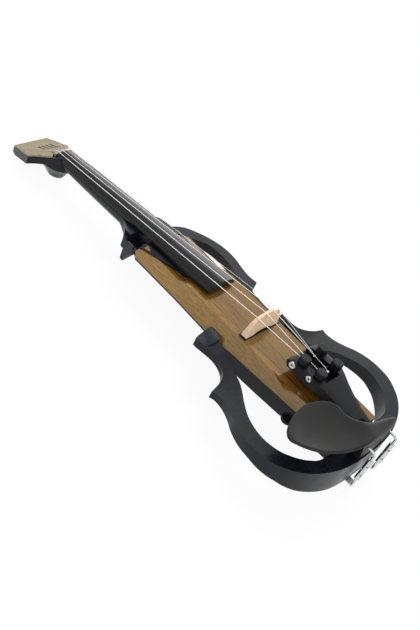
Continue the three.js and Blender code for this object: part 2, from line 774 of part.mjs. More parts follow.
// Bridge outline from the middle out, in shares of its foot half width and its height
const bridgeShares = [
  [0, 0.12], [0.3, 0.1], [0.5, 0.03], [0.55, 0], [1, 0], [1.01, 0.08], [0.93, 0.35], [0.86, 0.62],
  [0.78, 0.78], [0.66, 0.865], [0.5, 0.925], [0.33, 0.965], [0.17, 0.99], [0, 1],
];

function bridge() {
  const height = bridgeInnerHeight - bridgeSeat;
  const half = outline(bridgeShares, bridgeFootHalfWidth, height);
  const around = [...half, ...mirrored(half).slice(1, -1).reverse()];
  const geometry = new THREE.ExtrudeGeometry(new THREE.Shape(around), { depth: 1, bevelEnabled: false });
  const places = geometry.attributes.position;
  for (let i = 0; i < places.count; i += 1) {
    const [x, rise, depth] = [places.getX(i), places.getY(i), places.getZ(i)];
    const thick = bridgeThickness + ((bridgeCrownThickness - bridgeThickness) * rise) / height;
    places.setXYZ(i, x, (0.5 - depth) * thick, bridgeSeat + rise);
  }
  return solidOf(geometry);
}

// Strings by name: side, reach of the span, radius and the tuner pair they run to
const strings = [
  { name: 'g', side: -1, outer: true, radius: 0.42 },
  { name: 'd', side: -1, outer: false, radius: 0.4 },
  { name: 'a', side: 1, outer: false, radius: 0.36 },
  { name: 'e', side: 1, outer: true, radius: 0.24 },
];

function tunerPlace({ side, outer }) {
  const drumInner = channelHalfWidth - (outer ? drumLength + turnGap : 2 * drumLength - 2 * turnGap);
  return {
    side,
    drumInner,
    drumOuter: outer ? channelHalfWidth + turnGap : drumInner + drumLength,
    gearInner: outer ? channelHalfWidth + 3 * turnGap : channelHalfWidth - turnGap,
    y: outer ? -spoolFront : -spoolRear,
    z: outer ? spoolHeightFront : spoolHeightRear,
    inset: outer ? 0 : blockHalfWidth - channelHalfWidth - gearWidth - spoolScrewHead - screwInset,
  };
}

function violinString(string) {
  const { side, outer, radius } = string;
  const lift = radius + seatGap / 2;
  const spot = tunerPlace(string);
  const nutX = side * (outer ? nutOuterSpan : nutInnerSpan);
  const bridgeX = side * (outer ? bridgeOuterSpan : bridgeInnerSpan);
  const drumX = side * (spot.drumInner + drumLength / 2);
  const nutZ = (outer ? nutOuterHeight : nutInnerHeight) + lift;
  const bridgeZ = (outer ? bridgeOuterHeight : bridgeInnerHeight) + lift;
  const anchorY = stringLength + slotReach - seatGap;
  const nutFront = stringLength + nutLength / 2;
  const points = [
    new THREE.Vector3(nutX, anchorY, headTopAt(anchorY) - slotDepth / 2),
    new THREE.Vector3(nutX, nutFront + nutLength, headTopAt(nutFront + nutLength) + lift),
    new THREE.Vector3(nutX, nutFront - nutLength / 2, nutZ),
    new THREE.Vector3(nutX, stringLength - nutLength / 2, nutZ),
    new THREE.Vector3(bridgeX, bridgeCrownThickness / 2, bridgeZ),
    new THREE.Vector3(bridgeX, -bridgeCrownThickness / 2, bridgeZ),
  ];
  const wrap = drumRadius + seatGap + radius;
  for (const turn of [0, Math.PI / 6, Math.PI / 3]) {
    points.push(new THREE.Vector3(drumX, spot.y - wrap * Math.sin(turn), spot.z + wrap * Math.cos(turn)));
  }
  const ball = new THREE.SphereGeometry(ballRadius, 10, 6);
  const ballWrap = drumRadius + seatGap + ballRadius;
  const ballTurn = Math.PI / 3 + ballRadius / (2 * ballWrap);
  ball.translate(drumX, spot.y - ballWrap * Math.sin(ballTurn), spot.z + ballWrap * Math.cos(ballTurn));
  return wire(points, radius).add(solidOf(ball));
}

// Tailpiece: a casting in two cheeks with a channel between, narrowing to a seat on the wood
const shoulderShare = 0.13;
const cheekShare = 0.86;
const crownShare = 0.55;
const crownDropShare = 0.3;
const tailStationShares = [
  [0, 0, 0.88, 0.5, 0.12], [0.089, 0, 1, 0.88, 0], [0.2, 0, 1, 1, 0], [0.887, 0, 1, 0.97, -0.02],
  [1, 0.035, 0.87, 0.9, -0.05], [1, 0.199, 0.74, 0.66, -0.17], [1, 0.417, 0.62, 0.32, -0.32],
  [1, 0.636, 0.56, 0.02, -0.45], [1, 0.672, 0.555, -0.02, -1], [1, 0.9636, 0.52, -0.3, -1],
  [1, 1, 0.47, -0.38, -1],
];

function tailpieceBody() {
  const height = blockTop - blockBottom;
  const drop = blockBottom - plateauHeight - seatGap;
  const rings = tailStationShares.map(([along, arm, wide, top, bottom]) => {
    const y = -blockFront - along * blockLength - arm * (tailEnd - blockBack);
    const half = wide * blockHalfWidth;
    const zTop = blockBottom + top * height;
    const zBottom = blockBottom + bottom * (bottom < 0 ? drop : height);
    const shoulder = (zTop - zBottom) * shoulderShare;
    const [cheek, crown, cheekTop] = [half * cheekShare, half * crownShare,
      zTop - shoulder * crownDropShare];
    return [[-half, zBottom], [half, zBottom], [half, zTop - shoulder], [cheek, cheekTop], [crown, zTop],
      [-crown, zTop], [-cheek, cheekTop], [-half, zTop - shoulder]]
      .map(([x, z]) => new THREE.Vector3(x, y, z));
  });
  return loft(rings);
}

// Room for one tuner in its cheek: drum hole, gear pocket open below, worm bore and screw recess
function tunerRoom(string) {
  const { side, gearInner, drumInner, y, z, inset } = tunerPlace(string);
  const span = (a, b) => [Math.min(side * a, side * b), Math.max(side * a, side * b)];
  const pocket = gearRadius + gearTooth / 2 + turnGap;
  const gearOuter = gearInner + gearWidth;
  const face = blockHalfWidth - inset;
  const [gearMin, gearMax] = span(gearInner - turnGap, gearOuter + turnGap);
  const wormX = side * (gearInner + gearWidth / 2);
  const wormY = y - wormReach;
  const bore = wormRadius + turnGap;
  return rodAlongX(pocket, gearMin, gearMax, y, z)
    .add(box(gearMin, gearMax, y - pocket, y + pocket, blockBottom - overrun, z))
    .add(rodAlongX(drumRadius + turnGap, ...span(drumInner - turnGap, gearInner), y, z))
    .add(rodAlongX(spoolBoreRadius + turnGap, ...span(gearOuter, face + overrun), y, z))
    .add(rodAlongX(spoolScrewRadius + turnGap, ...span(face - spoolScrewHead - turnGap, face + overrun), y,
    z))
    .add(disc(bore, z - gearRadius - turnGap, blockTop + overrun, wormX, wormY));
}

const tailScrewY = -blockFront - tailScrewPlaceShare * (tailEnd - blockFront);
const tailScrewSeat = plateauHeight + tailScrewRise;

function tailScrewRoom() {
  return disc(tailScrewRadius + seatGap, plateauHeight - tailScrewDepth, tailScrewSeat + overrun, 0,
    tailScrewY)
    .add(disc(tailScrewHead + seatGap, tailScrewSeat - seatGap, tailScrewSeat + 2 * overrun, 0,
    tailScrewY));
}

function tailScrew() {
  const head = tailScrewHead / 2;
  return disc(tailScrewRadius, plateauHeight - tailScrewDepth + seatGap, tailScrewSeat + head / 2, 0,
    tailScrewY)
    .add(disc(tailScrewHead, tailScrewSeat, tailScrewSeat + head, 0, tailScrewY));
}

function tailpiece() {
  const channel = box(-channelHalfWidth, channelHalfWidth, -blockBack, -blockFront + overrun, channelFloor,
    blockTop + overrun);
  return strings.map(tunerRoom).reduce((body, room) => body.subtract(room), tailpieceBody()
    .subtract(channel))
    .subtract(tailScrewRoom());
}

function gear() {
  const points = [];
  for (let i = 0; i < gearTeeth; i += 1) {
    for (const [shift, reach] of [[0, -0.5], [0.3, -0.5], [0.45, 0.5], [0.85, 0.5]]) {
      const turn = ((i + shift) * 2 * Math.PI) / gearTeeth;
      const radius = gearRadius - gearTooth / 2 + reach * gearTooth;
      points.push(new THREE.Vector2(radius * Math.cos(turn), radius * Math.sin(turn)));
    }
  }
  return sideProfile(points, 0, gearWidth);
}

function tunerSpool(string) {
  const { side, gearInner, drumInner, y, z } = tunerPlace(string);
  const gearOuter = gearInner + gearWidth;
  const drum = rodAlongX(drumRadius, drumInner, gearInner + gearWidth / 2, 0, 0);
  const wheel = geometryOf(gear());
  wheel.translate(gearInner, 0, 0);
  const bore = rodAlongX(spoolBoreRadius, gearOuter - spoolScrewShank, gearOuter + overrun, 0, 0, 12);
  const spool = geometryOf(drum.add(solidOf(wheel)).subtract(bore));
  if (side < 0) spool.rotateZ(Math.PI);
  spool.translate(0, y, z);
  return solidOf(spool);
}

function spoolScrew(string) {
  const { side, gearInner, y, z, inset } = tunerPlace(string);
  const gearOuter = gearInner + gearWidth;
  const face = blockHalfWidth - inset;
  const shank = rodAlongX(spoolBoreRadius - seatGap, gearOuter - spoolScrewShank + seatGap,
    face - spoolScrewHead / 2, 0, 0, 12);
  const head = rodAlongX(spoolScrewRadius, face - spoolScrewHead, face, 0, 0);
  const socket = rodAlongX(spoolBoreRadius, face - spoolScrewHead / 2, face + overrun, 0, 0, 6);
  const screw = geometryOf(shank.add(head).subtract(socket));
  if (side < 0) screw.rotateZ(Math.PI);
  screw.translate(0, y, z);
  return solidOf(screw);
}

const knobEndShare = 0.85;

function tunerKnob(string) {
  const { side, gearInner, y, z } = tunerPlace(string);
  const flutes = [];
  for (let i = 0; i < knobFlutes; i += 1) {
    for (const [shift, cut] of [[0, 1], [0.5, 0]]) {
      const turn = ((i + shift) * 2 * Math.PI) / knobFlutes;
      const radius = knobRadius - cut * knobFlute;
      flutes.push(new THREE.Vector2(radius * Math.cos(turn), radius * Math.sin(turn)));
    }
  }
  const bottom = blockTop + seatGap;
  const ring = (share, height) => flutes.map((p) => new THREE.Vector3(p.x * share, p.y * share, height));
  const top = bottom + knobHeight;
  const cap = knobHeight / 8;
  const grip = loft([ring(knobEndShare, bottom), ring(1, bottom + cap), ring(1, top - cap),
    ring(knobEndShare, top)]);
  const knob = geometryOf(grip.add(disc(wormRadius, z - gearRadius, bottom + knobHeight / 2, 0, 0, 12)));
  knob.translate(side * (gearInner + gearWidth / 2), y - wormReach, 0);
  return solidOf(knob);
}

// Chinrest: its outline in shares of its half length, and the grid of the dished sheet that it is cut from
const chinShares = [
  [2.02, -0.42], [1.96, -0.34], [1.8, -0.285], [1.44, -0.215], [1.14, -0.155], [0.98, -0.06],
  [0.86, 0.09], [0.78, 0.29], [0.77, 0.5], [0.68, 0.68], [0.44, 0.84], [0.11, 0.93], [-0.29, 0.9],
  [-0.6, 0.8], [-0.85, 0.66], [-0.95, 0.49], [-0.86, 0.3], [-0.6, 0.07], [-0.34, -0.12], [-0.08, -0.26],
  [0.22, -0.4], [0.53, -0.5], [0.85, -0.53], [1.2, -0.54], [1.62, -0.52], [1.9, -0.47],
];
const sheetXShares = [-1.1, -0.93, -0.75, -0.56, -0.37, -0.18, 0, 0.18, 0.37, 0.56, 0.75, 0.93, 1.2, 1.6,
  2.1];
const sheetYShares = [-0.85, -0.7, -0.55, -0.38, -0.2, 0, 0.2, 0.38, 0.55, 0.7, 0.85, 1.1];
const armShare = 0.9;

// A sheet with the chinrest's dish and falling arm, from its top face down to a lower one
function chinSheet(drop, bottomAt) {
  const height = (x, y) => {
    const fall = armFall * Math.max(0, x / chinHalfLength - armShare);
    const dish = chinCup * Math.max(0, 1 - (x / cupHalfLength) ** 2 - (y / cupHalfWidth) ** 2);
    return chinRim - fall - dish - drop;
  };
  const across = sheetYShares.map((share) => share * chinHalfLength);
  return loft(sheetXShares.map((share) => {
    const x = share * chinHalfLength;
    const top = across.map((y) => new THREE.Vector3(chinCentreX + x, chinCentreY + y, height(x, y)));
    const under = across.map((y) => new THREE.Vector3(chinCentreX + x, chinCentreY + y,
      bottomAt(height(x, y))));
    return [...top, ...under.reverse()];
  }));
}

function chinrestPlate() {
  const rim = smooth(outline([...chinShares, chinShares[0]], chinHalfLength, chinHalfLength), 2)
    .slice(0, -1)
    .map((point) => new THREE.Vector2(chinCentreX + point.x, chinCentreY + point.y));
  return chinSheet(0, (z) => z - chinWall).intersect(plate(rim, floorHeight, 2 * chinRim));
}

const clampXs = [clampCentre - clampSpan / 2, clampCentre + clampSpan / 2];
const clampY = -tailReach - clampOffset;
const padTop = frameTop + seatGap + corkThickness;

function chinrest() {
  const half = chinBaseHalfWidth;
  const base = box(chinBaseCentre - half, chinBaseCentre + half, -chinBaseBack, -chinBaseFront,
    padTop + seatGap, chinRim)
    .intersect(chinSheet(chinWall / 2, () => floorHeight));
  const arch = box(-tailHalfWidth - archMargin, tailHalfWidth + archMargin, -chinBaseFront - archDepth, 0,
    0, chinRim - archWall);
  return chinrestPlate().add(base).subtract(arch).subtract(clampArmRoom());
}

function chinrestCork() {
  const half = chinBaseHalfWidth - seatGap;
  return box(chinBaseCentre - half, chinBaseCentre + half, -chinBaseBack + seatGap,
    -chinBaseFront - seatGap, frameTop + seatGap, padTop);
}

// Clamps: an arm from the chinrest base, a barrel on two threads and one foot under the frame

function clampArm(x, radius, reach) {
  const points = [new THREE.Vector3(x, -chinBaseBack + reach, armHeight),
    new THREE.Vector3(x, clampY + armBend, armHeight),
    new THREE.Vector3(x, clampY, armHeight - armBend),
      new THREE.Vector3(x, clampY, barrelBottom + barrelLength - threadGrip)];
  return wire(points, radius, 10);
}

function clampArmRoom() {
  return clampXs.map((x) => clampArm(x, rodRadius + seatGap, armReach + seatGap))
    .reduce((all, one) => all.add(one));
}

function clampBarrel(x) {
  const hole = rodAlongX(rodRadius / 2, x - overrun, x + overrun, clampY, barrelBottom + barrelLength / 2,
    8);
  const thread = disc(rodRadius + seatGap, barrelBottom - overrun, barrelBottom + barrelLength + overrun, x,
    clampY, 12);
  return disc(barrelRadius, barrelBottom, barrelBottom + barrelLength, x, clampY, 16).subtract(thread)
    .subtract(hole);
}

const footTop = floorHeight + footThickness;

function clampFoot() {
  const rods = clampXs.map((x) => disc(rodRadius, footTop - footThickness / 2, barrelBottom + threadGrip, x,
    clampY, 10));
  const toes = clampXs.map((x) => box(x - footWidth / 2, x + footWidth / 2, clampY - rodRadius,
    clampY + footReach, footTop - footThickness, footTop));
  const tie = box(clampXs[0], clampXs[1], clampY + footReach - footWidth, clampY + footReach,
    footTop - footThickness, footTop);
  return [...rods, ...toes].reduce((all, one) => all.add(one), tie);
}

function clampCork() {
  const half = clampSpan / 2 + footWidth / 2;
  const back = clampY + rodRadius + seatGap;
  return box(clampCentre - half, clampCentre + half, Math.max(back, -tailReach), clampY + footReach,
    footTop + seatGap, frameDepth)
    .subtract(frameSide(seatGap));
}

// Back of the core: bay, cover, battery and its door, circuit board
const coverFront = bayFront + coverLedge;
const coverBack = bayBack - coverLedge;
const coverHalf = bayHalfWidth + coverLedge;
const doorFront = doorBack + doorLength;
const batteryMiddle = (doorBack + doorFront) / 2;
const coverScrewPlaces = [[-1, coverFront], [1, coverFront], [-1, coverBack], [1, coverBack]]
  .map(([side, y]) => [side * (coverHalf - coverLedge), y - Math.sign(y) * coverLedge / 2]);

function core() {
  const bay = box(-bayHalfWidth, bayHalfWidth, bayBack, bayFront, coreBottom - overrun,
    woodBottom + overrun);
  const ledge = box(-coverHalf - seatGap, coverHalf + seatGap, coverBack - seatGap, coverFront + seatGap,
    coreBottom - overrun, coreBottom + coverThickness + seatGap);
  const screwHoles = coverScrewPlaces.map(([x, y]) =>
    disc(coverScrewRadius + seatGap, coreBottom, coreBottom + coverScrewLength + seatGap, x, y, 12));
  const cuts = [ledge, ...screwHoles, neckScrewRoom(), wheelRoom(-1), wheelRoom(1), jackRoom(),
    phoneRoom()];
  return cuts.reduce((body, cut) => body.subtract(cut), coreSolid(0).subtract(bay));
}

function backCover() {
  const cover = box(-coverHalf, coverHalf, coverBack, coverFront, coreBottom, coreBottom + coverThickness);
  const doorway = box(-doorWidth / 2 - seatGap, doorWidth / 2 + seatGap, doorBack - seatGap,
    doorFront + seatGap,
    coreBottom - overrun, coreBottom + overrun);
  const slot = box(-switchWidth / 2 - seatGap, switchWidth / 2 + seatGap, -switchLength / 2 - seatGap,
    switchLength / 2 + switchTravel + seatGap, coreBottom - overrun, coreBottom + overrun);
  const holes = coverScrewPlaces.map(([x, y]) =>
    disc(coverScrewRadius + seatGap, coreBottom - overrun, coreBottom + overrun, x, y, 12));
  return [doorway, slot, ...holes].reduce((body, cut) => body.subtract(cut), cover);
}

function coverScrew([x, y]) {
  return disc(coverScrewRadius, coreBottom - seatGap, coreBottom + coverScrewLength, x, y, 12)
    .add(disc(coverScrewHead, coreBottom - seatGap - coverScrewRise, coreBottom - seatGap, x, y, 16));
}

function batteryDoor() {
  return box(-doorWidth / 2, doorWidth / 2, doorBack, doorFront, coreBottom, coreBottom + coverThickness);
}

function battery() {
  const bottom = coreBottom + coverThickness + seatGap;
  const half = batteryWidth / 2;
  const cell = box(-half, half, batteryMiddle - batteryLength / 2,
    batteryMiddle + batteryLength / 2 - batteryTerminal, bottom, bottom + batteryDepth);
  const terminals = [-1, 1].map((side) => {
    const length = batteryTerminal + overrun;
    const geometry = new THREE.CylinderGeometry(batteryTerminal, batteryTerminal, length, 12);
    geometry.translate((side * half) / 2, batteryMiddle + (batteryLength - length) / 2, bottom + batteryDepth / 2);
    return solidOf(geometry);
  });
  return cell.add(terminals[0]).add(terminals[1]);
}

function preampBoard() {
  const top = woodBottom - boardStandoff;
  const front = bayFront - coverLedge;
  const half = bayHalfWidth - seatGap;
  const board = box(-half, half, front - boardLength, front, top - boardThickness, top);
  const feet = [[-1, 0], [1, 0], [-1, 1], [1, 1]].map(([side, end]) =>
    disc(boardThickness, top - boardThickness, woodBottom - seatGap,
    side * (half - 2 * boardThickness), front - 2 * boardThickness - end * (boardLength - 4 * boardThickness), 10));
  return feet.reduce((all, one) => all.add(one), board);
}

function powerSwitch() {
  const inner = coreBottom + coverThickness + seatGap;
  const lever = box(-switchWidth / 2, switchWidth / 2, -switchLength / 2, switchLength / 2,
    coreBottom - switchProud,
    inner + switchBase / 2);
  return lever.add(box(-switchWidth, switchWidth, -switchLength, switchLength, inner, inner + switchBase));
}

// Thumb wheels in slots on both sides of the core
const bodyEdgeAt = (place) => {
  const stations = bodyStationShares.map(bodyStation);
  const next = stations.findIndex(({ y }) => y < place);
  const [a, b] = [stations[next - 1], stations[next]];
  const share = (place - a.y) / (b.y - a.y);
  return { edge: a.edge + (b.edge - a.edge) * share, keel: a.keel + (b.keel - a.keel) * share };
};
const wheelX = bodyEdgeAt(wheelPlace).keel - wheelRadius + wheelProud;

function wheelRoom(side) {
  return disc(wheelRadius + turnGap, wheelHeight - wheelThickness / 2 - turnGap,
    wheelHeight + wheelThickness / 2 + turnGap,
    side * wheelX, wheelPlace, 32)
    .subtract(box(-bayHalfWidth - seatGap, bayHalfWidth + seatGap, bayBack, bayFront, coreBottom,
    woodBottom));
}

function thumbWheel(side) {
  return disc(wheelRadius, wheelHeight - wheelThickness / 2, wheelHeight + wheelThickness / 2,
    side * wheelX, wheelPlace, 32);
}

// Sockets on the treble side of the core
const socketFace = (place) => bodyEdgeAt(place).keel;

function socket(place, radius, bore) {
  const face = socketFace(place);
  const inner = face - jackDepth;
  return rodAlongX(radius, inner, face + jackFlange, place, socketHeight)
    .add(rodAlongX(radius + jackFlange, face + jackFlange / 2, face + 1.5 * jackFlange, place,
    socketHeight))
    .subtract(rodAlongX(bore, inner + jackFlange, face + overrun, place, socketHeight, 16));
}

function socketRoom(place, radius) {
  const face = socketFace(place);
  return rodAlongX(radius + seatGap, face - jackDepth - seatGap, face + overrun + jackFlange, place,
    socketHeight);
}

const jackRoom = () => socketRoom(jackPlace, jackRadius);
const phoneRoom = () => socketRoom(phonePlace, phoneRadius);

function neckScrew(share) {
  const y = share * bodyFront;
  return disc(neckScrewRadius, coreBottom + neckScrewSink / 2, neckScrewTop, 0, y, 16)
    .add(disc(neckScrewHead, coreBottom + seatGap, coreBottom + neckScrewSink, 0, y, 20));
}

// Assembly
addPiece('body_core', core(), paint.shell);
addPiece('wood_top', woodTop(), paint.wood);
addPiece('frame_lower', lowerFrame(), paint.shell);
addPiece('frame_upper', upperFrame(), paint.shell);
addPiece('neck', neck(), paint.shell);
addPiece('headstock_veneer', veneer(), paint.veneer);
addPiece('nut', nut(), paint.bone);
addPiece('fingerboard', fingerboard(), paint.ebony);
addPiece('bridge', bridge(), paint.maple);
addPiece('bridge_pickup', bridgePickup(), paint.shell);
addPiece('pickup_lead', pickupLead(), paint.shell);
addPiece('tailpiece', tailpiece(), paint.casting);
addPiece('tailpiece_screw', tailScrew(), paint.steel);
for (const string of strings) {
  addPiece(`string_${string.name}`, violinString(string), paint.steel);
  addPiece(`tuner_spool_${string.name}`, tunerSpool(string), paint.steel);
  addPiece(`tuner_screw_${string.name}`, spoolScrew(string), paint.steel);
  addPiece(`tuner_knob_${string.name}`, tunerKnob(string), paint.casting);
}
addPiece('chinrest', chinrest(), paint.chin);
addPiece('chinrest_cork', chinrestCork(), paint.cork);
clampXs.forEach((x, i) => {
  const side = ['bass', 'treble'][i];
  addPiece(`clamp_arm_${side}`, clampArm(x, rodRadius, armReach), paint.chrome);
  addPiece(`clamp_barrel_${side}`, clampBarrel(x), paint.chrome);
});
addPiece('clamp_foot', clampFoot(), paint.chrome);
addPiece('clamp_foot_cork', clampCork(), paint.cork);
addPiece('back_cover', backCover(), paint.shell);
coverScrewPlaces.forEach((place, i) => addPiece(`cover_screw_${i + 1}`, coverScrew(place), paint.steel));
addPiece('battery_door', batteryDoor(), paint.shell);
addPiece('battery', battery(), paint.steel);
addPiece('preamp_board', preampBoard(), paint.circuit);
addPiece('power_switch', powerSwitch(), paint.shell);
addPiece('volume_wheel', thumbWheel(-1), paint.casting);
addPiece('tone_wheel', thumbWheel(1), paint.casting);
addPiece('output_jack', socket(jackPlace, jackRadius, jackBore), paint.steel);
addPiece('headphone_jack', socket(phonePlace, phoneRadius, phoneBore), paint.steel);
neckScrewShares.forEach((share, i) => addPiece(`neck_screw_${i + 1}`, neckScrew(share), paint.steel));

export default violin;
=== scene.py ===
"""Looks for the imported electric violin: camera, stage, light, finishes and detailed pieces."""

import json
import math

import bmesh
import bpy
from mathutils import Matrix, Vector
from mathutils.geometry import delaunay_2d_cdt

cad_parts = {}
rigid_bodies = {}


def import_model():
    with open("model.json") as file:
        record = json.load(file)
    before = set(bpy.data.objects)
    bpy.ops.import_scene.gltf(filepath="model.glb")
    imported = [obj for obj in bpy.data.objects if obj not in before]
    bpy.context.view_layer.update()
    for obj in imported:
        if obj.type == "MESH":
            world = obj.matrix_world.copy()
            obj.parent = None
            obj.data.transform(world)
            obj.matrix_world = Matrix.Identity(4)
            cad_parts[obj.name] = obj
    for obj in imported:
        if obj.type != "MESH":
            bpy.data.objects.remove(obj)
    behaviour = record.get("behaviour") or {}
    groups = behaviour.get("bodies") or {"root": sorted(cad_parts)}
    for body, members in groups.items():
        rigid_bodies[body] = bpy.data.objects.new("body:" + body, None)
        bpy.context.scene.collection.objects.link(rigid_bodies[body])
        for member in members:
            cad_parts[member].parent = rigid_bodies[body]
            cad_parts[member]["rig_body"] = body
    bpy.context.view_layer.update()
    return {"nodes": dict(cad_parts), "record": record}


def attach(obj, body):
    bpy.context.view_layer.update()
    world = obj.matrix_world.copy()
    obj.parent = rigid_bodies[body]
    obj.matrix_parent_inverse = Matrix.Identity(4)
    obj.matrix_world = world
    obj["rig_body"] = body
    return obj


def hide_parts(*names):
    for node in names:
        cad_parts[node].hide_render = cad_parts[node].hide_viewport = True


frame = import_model()
slots = {part["node"]: part["material_slot"] for part in frame["record"]["subparts"]}
scene = bpy.context.scene
scene.view_settings.view_transform = "Standard"

# The pieces' sizes are in millimetres, and MM makes them metres. All other lengths are in metres.
MM = 0.001
UP = Vector((0, 0, 1))
# Keeps a division away from zero
TINY = 1e-6

# Camera, fitted to the photograph
CAMERA_PLACE = Vector((-0.63755, -0.37113, 0.63448))
CAMERA_TARGET = Vector((-0.039896, -0.065802, 0.0565))
CAMERA_ROLL = math.radians(26.934)
# Focal length over the picture's longer side, both in pixels
FOCAL_SHARE = 876.96 / 630
SENSOR = 36
CLIP_NEAR = 0.01
CLIP_FAR = 20


def place_camera():
    data = bpy.data.cameras.new("camera")
    data.sensor_width = SENSOR
    data.lens = FOCAL_SHARE * SENSOR
    data.clip_start = CLIP_NEAR
    data.clip_end = CLIP_FAR
    camera = bpy.data.objects.new("camera", data)
    scene.collection.objects.link(camera)
    ahead = (CAMERA_TARGET - CAMERA_PLACE).normalized()
    level = ahead.cross(UP).normalized()
    above = level.cross(ahead)
    right = level * math.cos(CAMERA_ROLL) + above * math.sin(CAMERA_ROLL)
    up = above * math.cos(CAMERA_ROLL) - level * math.sin(CAMERA_ROLL)
    turn = Matrix((right, up, -ahead)).transposed().to_4x4()
    camera.matrix_world = Matrix.Translation(CAMERA_PLACE) @ turn
    scene.camera = camera


# Node trees
class Tree:
    """A node tree with short calls for the nodes that the finishes use."""

    def __init__(self, owner):
        owner.use_nodes = True
        self.nodes = owner.node_tree.nodes
        self.links = owner.node_tree.links
        self.nodes.clear()

    def add(self, kind, **values):
        node = self.nodes.new(kind)
        for name, value in values.items():
            setattr(node, name, value)
        return node

    def wire(self, source, target):
        self.links.new(source, target)

    def fill(self, socket, value):
        """Wires another node's output to the socket, or sets its value."""
        if isinstance(value, bpy.types.NodeSocket):
            self.wire(value, socket)
        else:
            socket.default_value = value

    def math(self, operation, first, second=0.5):
        node = self.add("ShaderNodeMath", operation=operation)
        self.fill(node.inputs[0], first)
        self.fill(node.inputs[1], second)
        return node.outputs[0]

    def mix(self, share, first, second):
        """The first colour where share is 0, and the second where it is 1."""
        node = self.add("ShaderNodeMix", data_type="RGBA")
        self.fill(node.inputs["Factor"], share)
        self.fill(node.inputs[6], first)
        self.fill(node.inputs[7], second)
        return node.outputs[2]

    def spread(self, value, low, high, to_low=0.0, to_high=1.0):
        """The stretch from low to high laid out from to_low to to_high, and held at its ends."""
        node = self.add("ShaderNodeMapRange")
        self.fill(node.inputs["Value"], value)
        self.fill(node.inputs["From Min"], low)
        self.fill(node.inputs["From Max"], high)
        self.fill(node.inputs["To Min"], to_low)
        self.fill(node.inputs["To Max"], to_high)
        return node.outputs[0]

    def place(self):
        """The place on the object, which is the place in the frame at rest."""
        return self.add("ShaderNodeTexCoord").outputs["Object"]

    def noise(self, scale, squeeze=(1, 1, 1), detail=4.0, roughness=0.55, distortion=0.0):
        """Noise with about scale patches a metre, made finer along each axis by squeeze."""
        mapping = self.add("ShaderNodeMapping")
        mapping.inputs["Scale"].default_value = squeeze
        self.wire(self.place(), mapping.inputs["Vector"])
        node = self.add("ShaderNodeTexNoise")
        self.wire(mapping.outputs[0], node.inputs["Vector"])
        node.inputs["Scale"].default_value = scale
        node.inputs["Detail"].default_value = detail
        node.inputs["Roughness"].default_value = roughness
        node.inputs["Distortion"].default_value = distortion
        return node.outputs["Fac"]

    def bump(self, height, distance, strength=0.3):
        node = self.add("ShaderNodeBump")
        node.inputs["Strength"].default_value = strength
        node.inputs["Distance"].default_value = distance
        self.wire(height, node.inputs["Height"])
        return node.outputs[0]


def srgb(red, green, blue):
    """A colour of 0 to 255 a channel, through the standard sRGB curve to linear light."""
    shares = [value / 255 for value in (red, green, blue)]
    return tuple(c / 12.92 if c <= 0.04045 else ((c + 0.055) / 1.055) ** 2.4 for c in shares) + (1.0,)


def shader(tree, **constants):
    """A principled shader on the material's output, with its constants on its own sockets."""
    node = tree.add("ShaderNodeBsdfPrincipled")
    for name, value in constants.items():
        node.inputs[name.replace("_", " ")].default_value = value
    output = tree.add("ShaderNodeOutputMaterial")
    tree.wire(node.outputs[0], output.inputs[0])
    return node


# Finishes
# What part of a noise's range is laid out over a tone, and what part over a roughness
TONE_RANGE = (0.35, 0.65)
GLOSS_RANGE = (0.3, 0.7)
# Moulded and painted parts: the scale of the tone and of the wear, and how far wear moves the roughness
TONE_SCALE = 22.0
WEAR_SCALE = 90.0
WEAR_SMOOTHER = 0.05
WEAR_ROUGHER = 0.06


def moulded(name, dark, light, rough, grain=1400.0, depth=0.00002, **constants):
    """A plain finish with slow tone changes, an uneven gloss and a fine surface grain."""
    material = bpy.data.materials.new(name)
    tree = Tree(material)
    node = shader(tree, **constants)
    tone = tree.noise(TONE_SCALE, detail=3.0)
    fine = tree.noise(grain, detail=2.0)
    wear = tree.noise(WEAR_SCALE, detail=5.0)
    gloss = tree.spread(wear, *GLOSS_RANGE, rough - WEAR_SMOOTHER, rough + WEAR_ROUGHER)
    tree.wire(tree.mix(tree.spread(tone, *TONE_RANGE), dark, light), node.inputs["Base Color"])
    tree.wire(gloss, node.inputs["Roughness"])
    tree.wire(tree.bump(fine, depth), node.inputs["Normal"])
    return material


# Metals: the scale of their marks, the darkest tone and the least and greatest roughness as shares of the
# metal's own, and how strongly the marks stand out
MARK_SCALE = 700.0
MARK_SHADE = 0.82
MARK_SMOOTH = 0.7
MARK_ROUGH = 1.4
MARK_STRENGTH = 0.2


def metal(name, colour, rough, metallic=1.0, depth=0.00001):
    """A metal with fine marks in its tone, its gloss and its surface."""
    material = bpy.data.materials.new(name)
    tree = Tree(material)
    node = shader(tree, Metallic=metallic)
    marks = tree.noise(MARK_SCALE)
    shade = tuple(c * MARK_SHADE for c in colour[:3]) + (1.0,)
    gloss = tree.spread(marks, *GLOSS_RANGE, rough * MARK_SMOOTH, rough * MARK_ROUGH)
    tree.wire(tree.mix(tree.spread(marks, *TONE_RANGE), shade, colour), node.inputs["Base Color"])
    tree.wire(gloss, node.inputs["Roughness"])
    tree.wire(tree.bump(marks, depth, MARK_STRENGTH), node.inputs["Normal"])
    return material


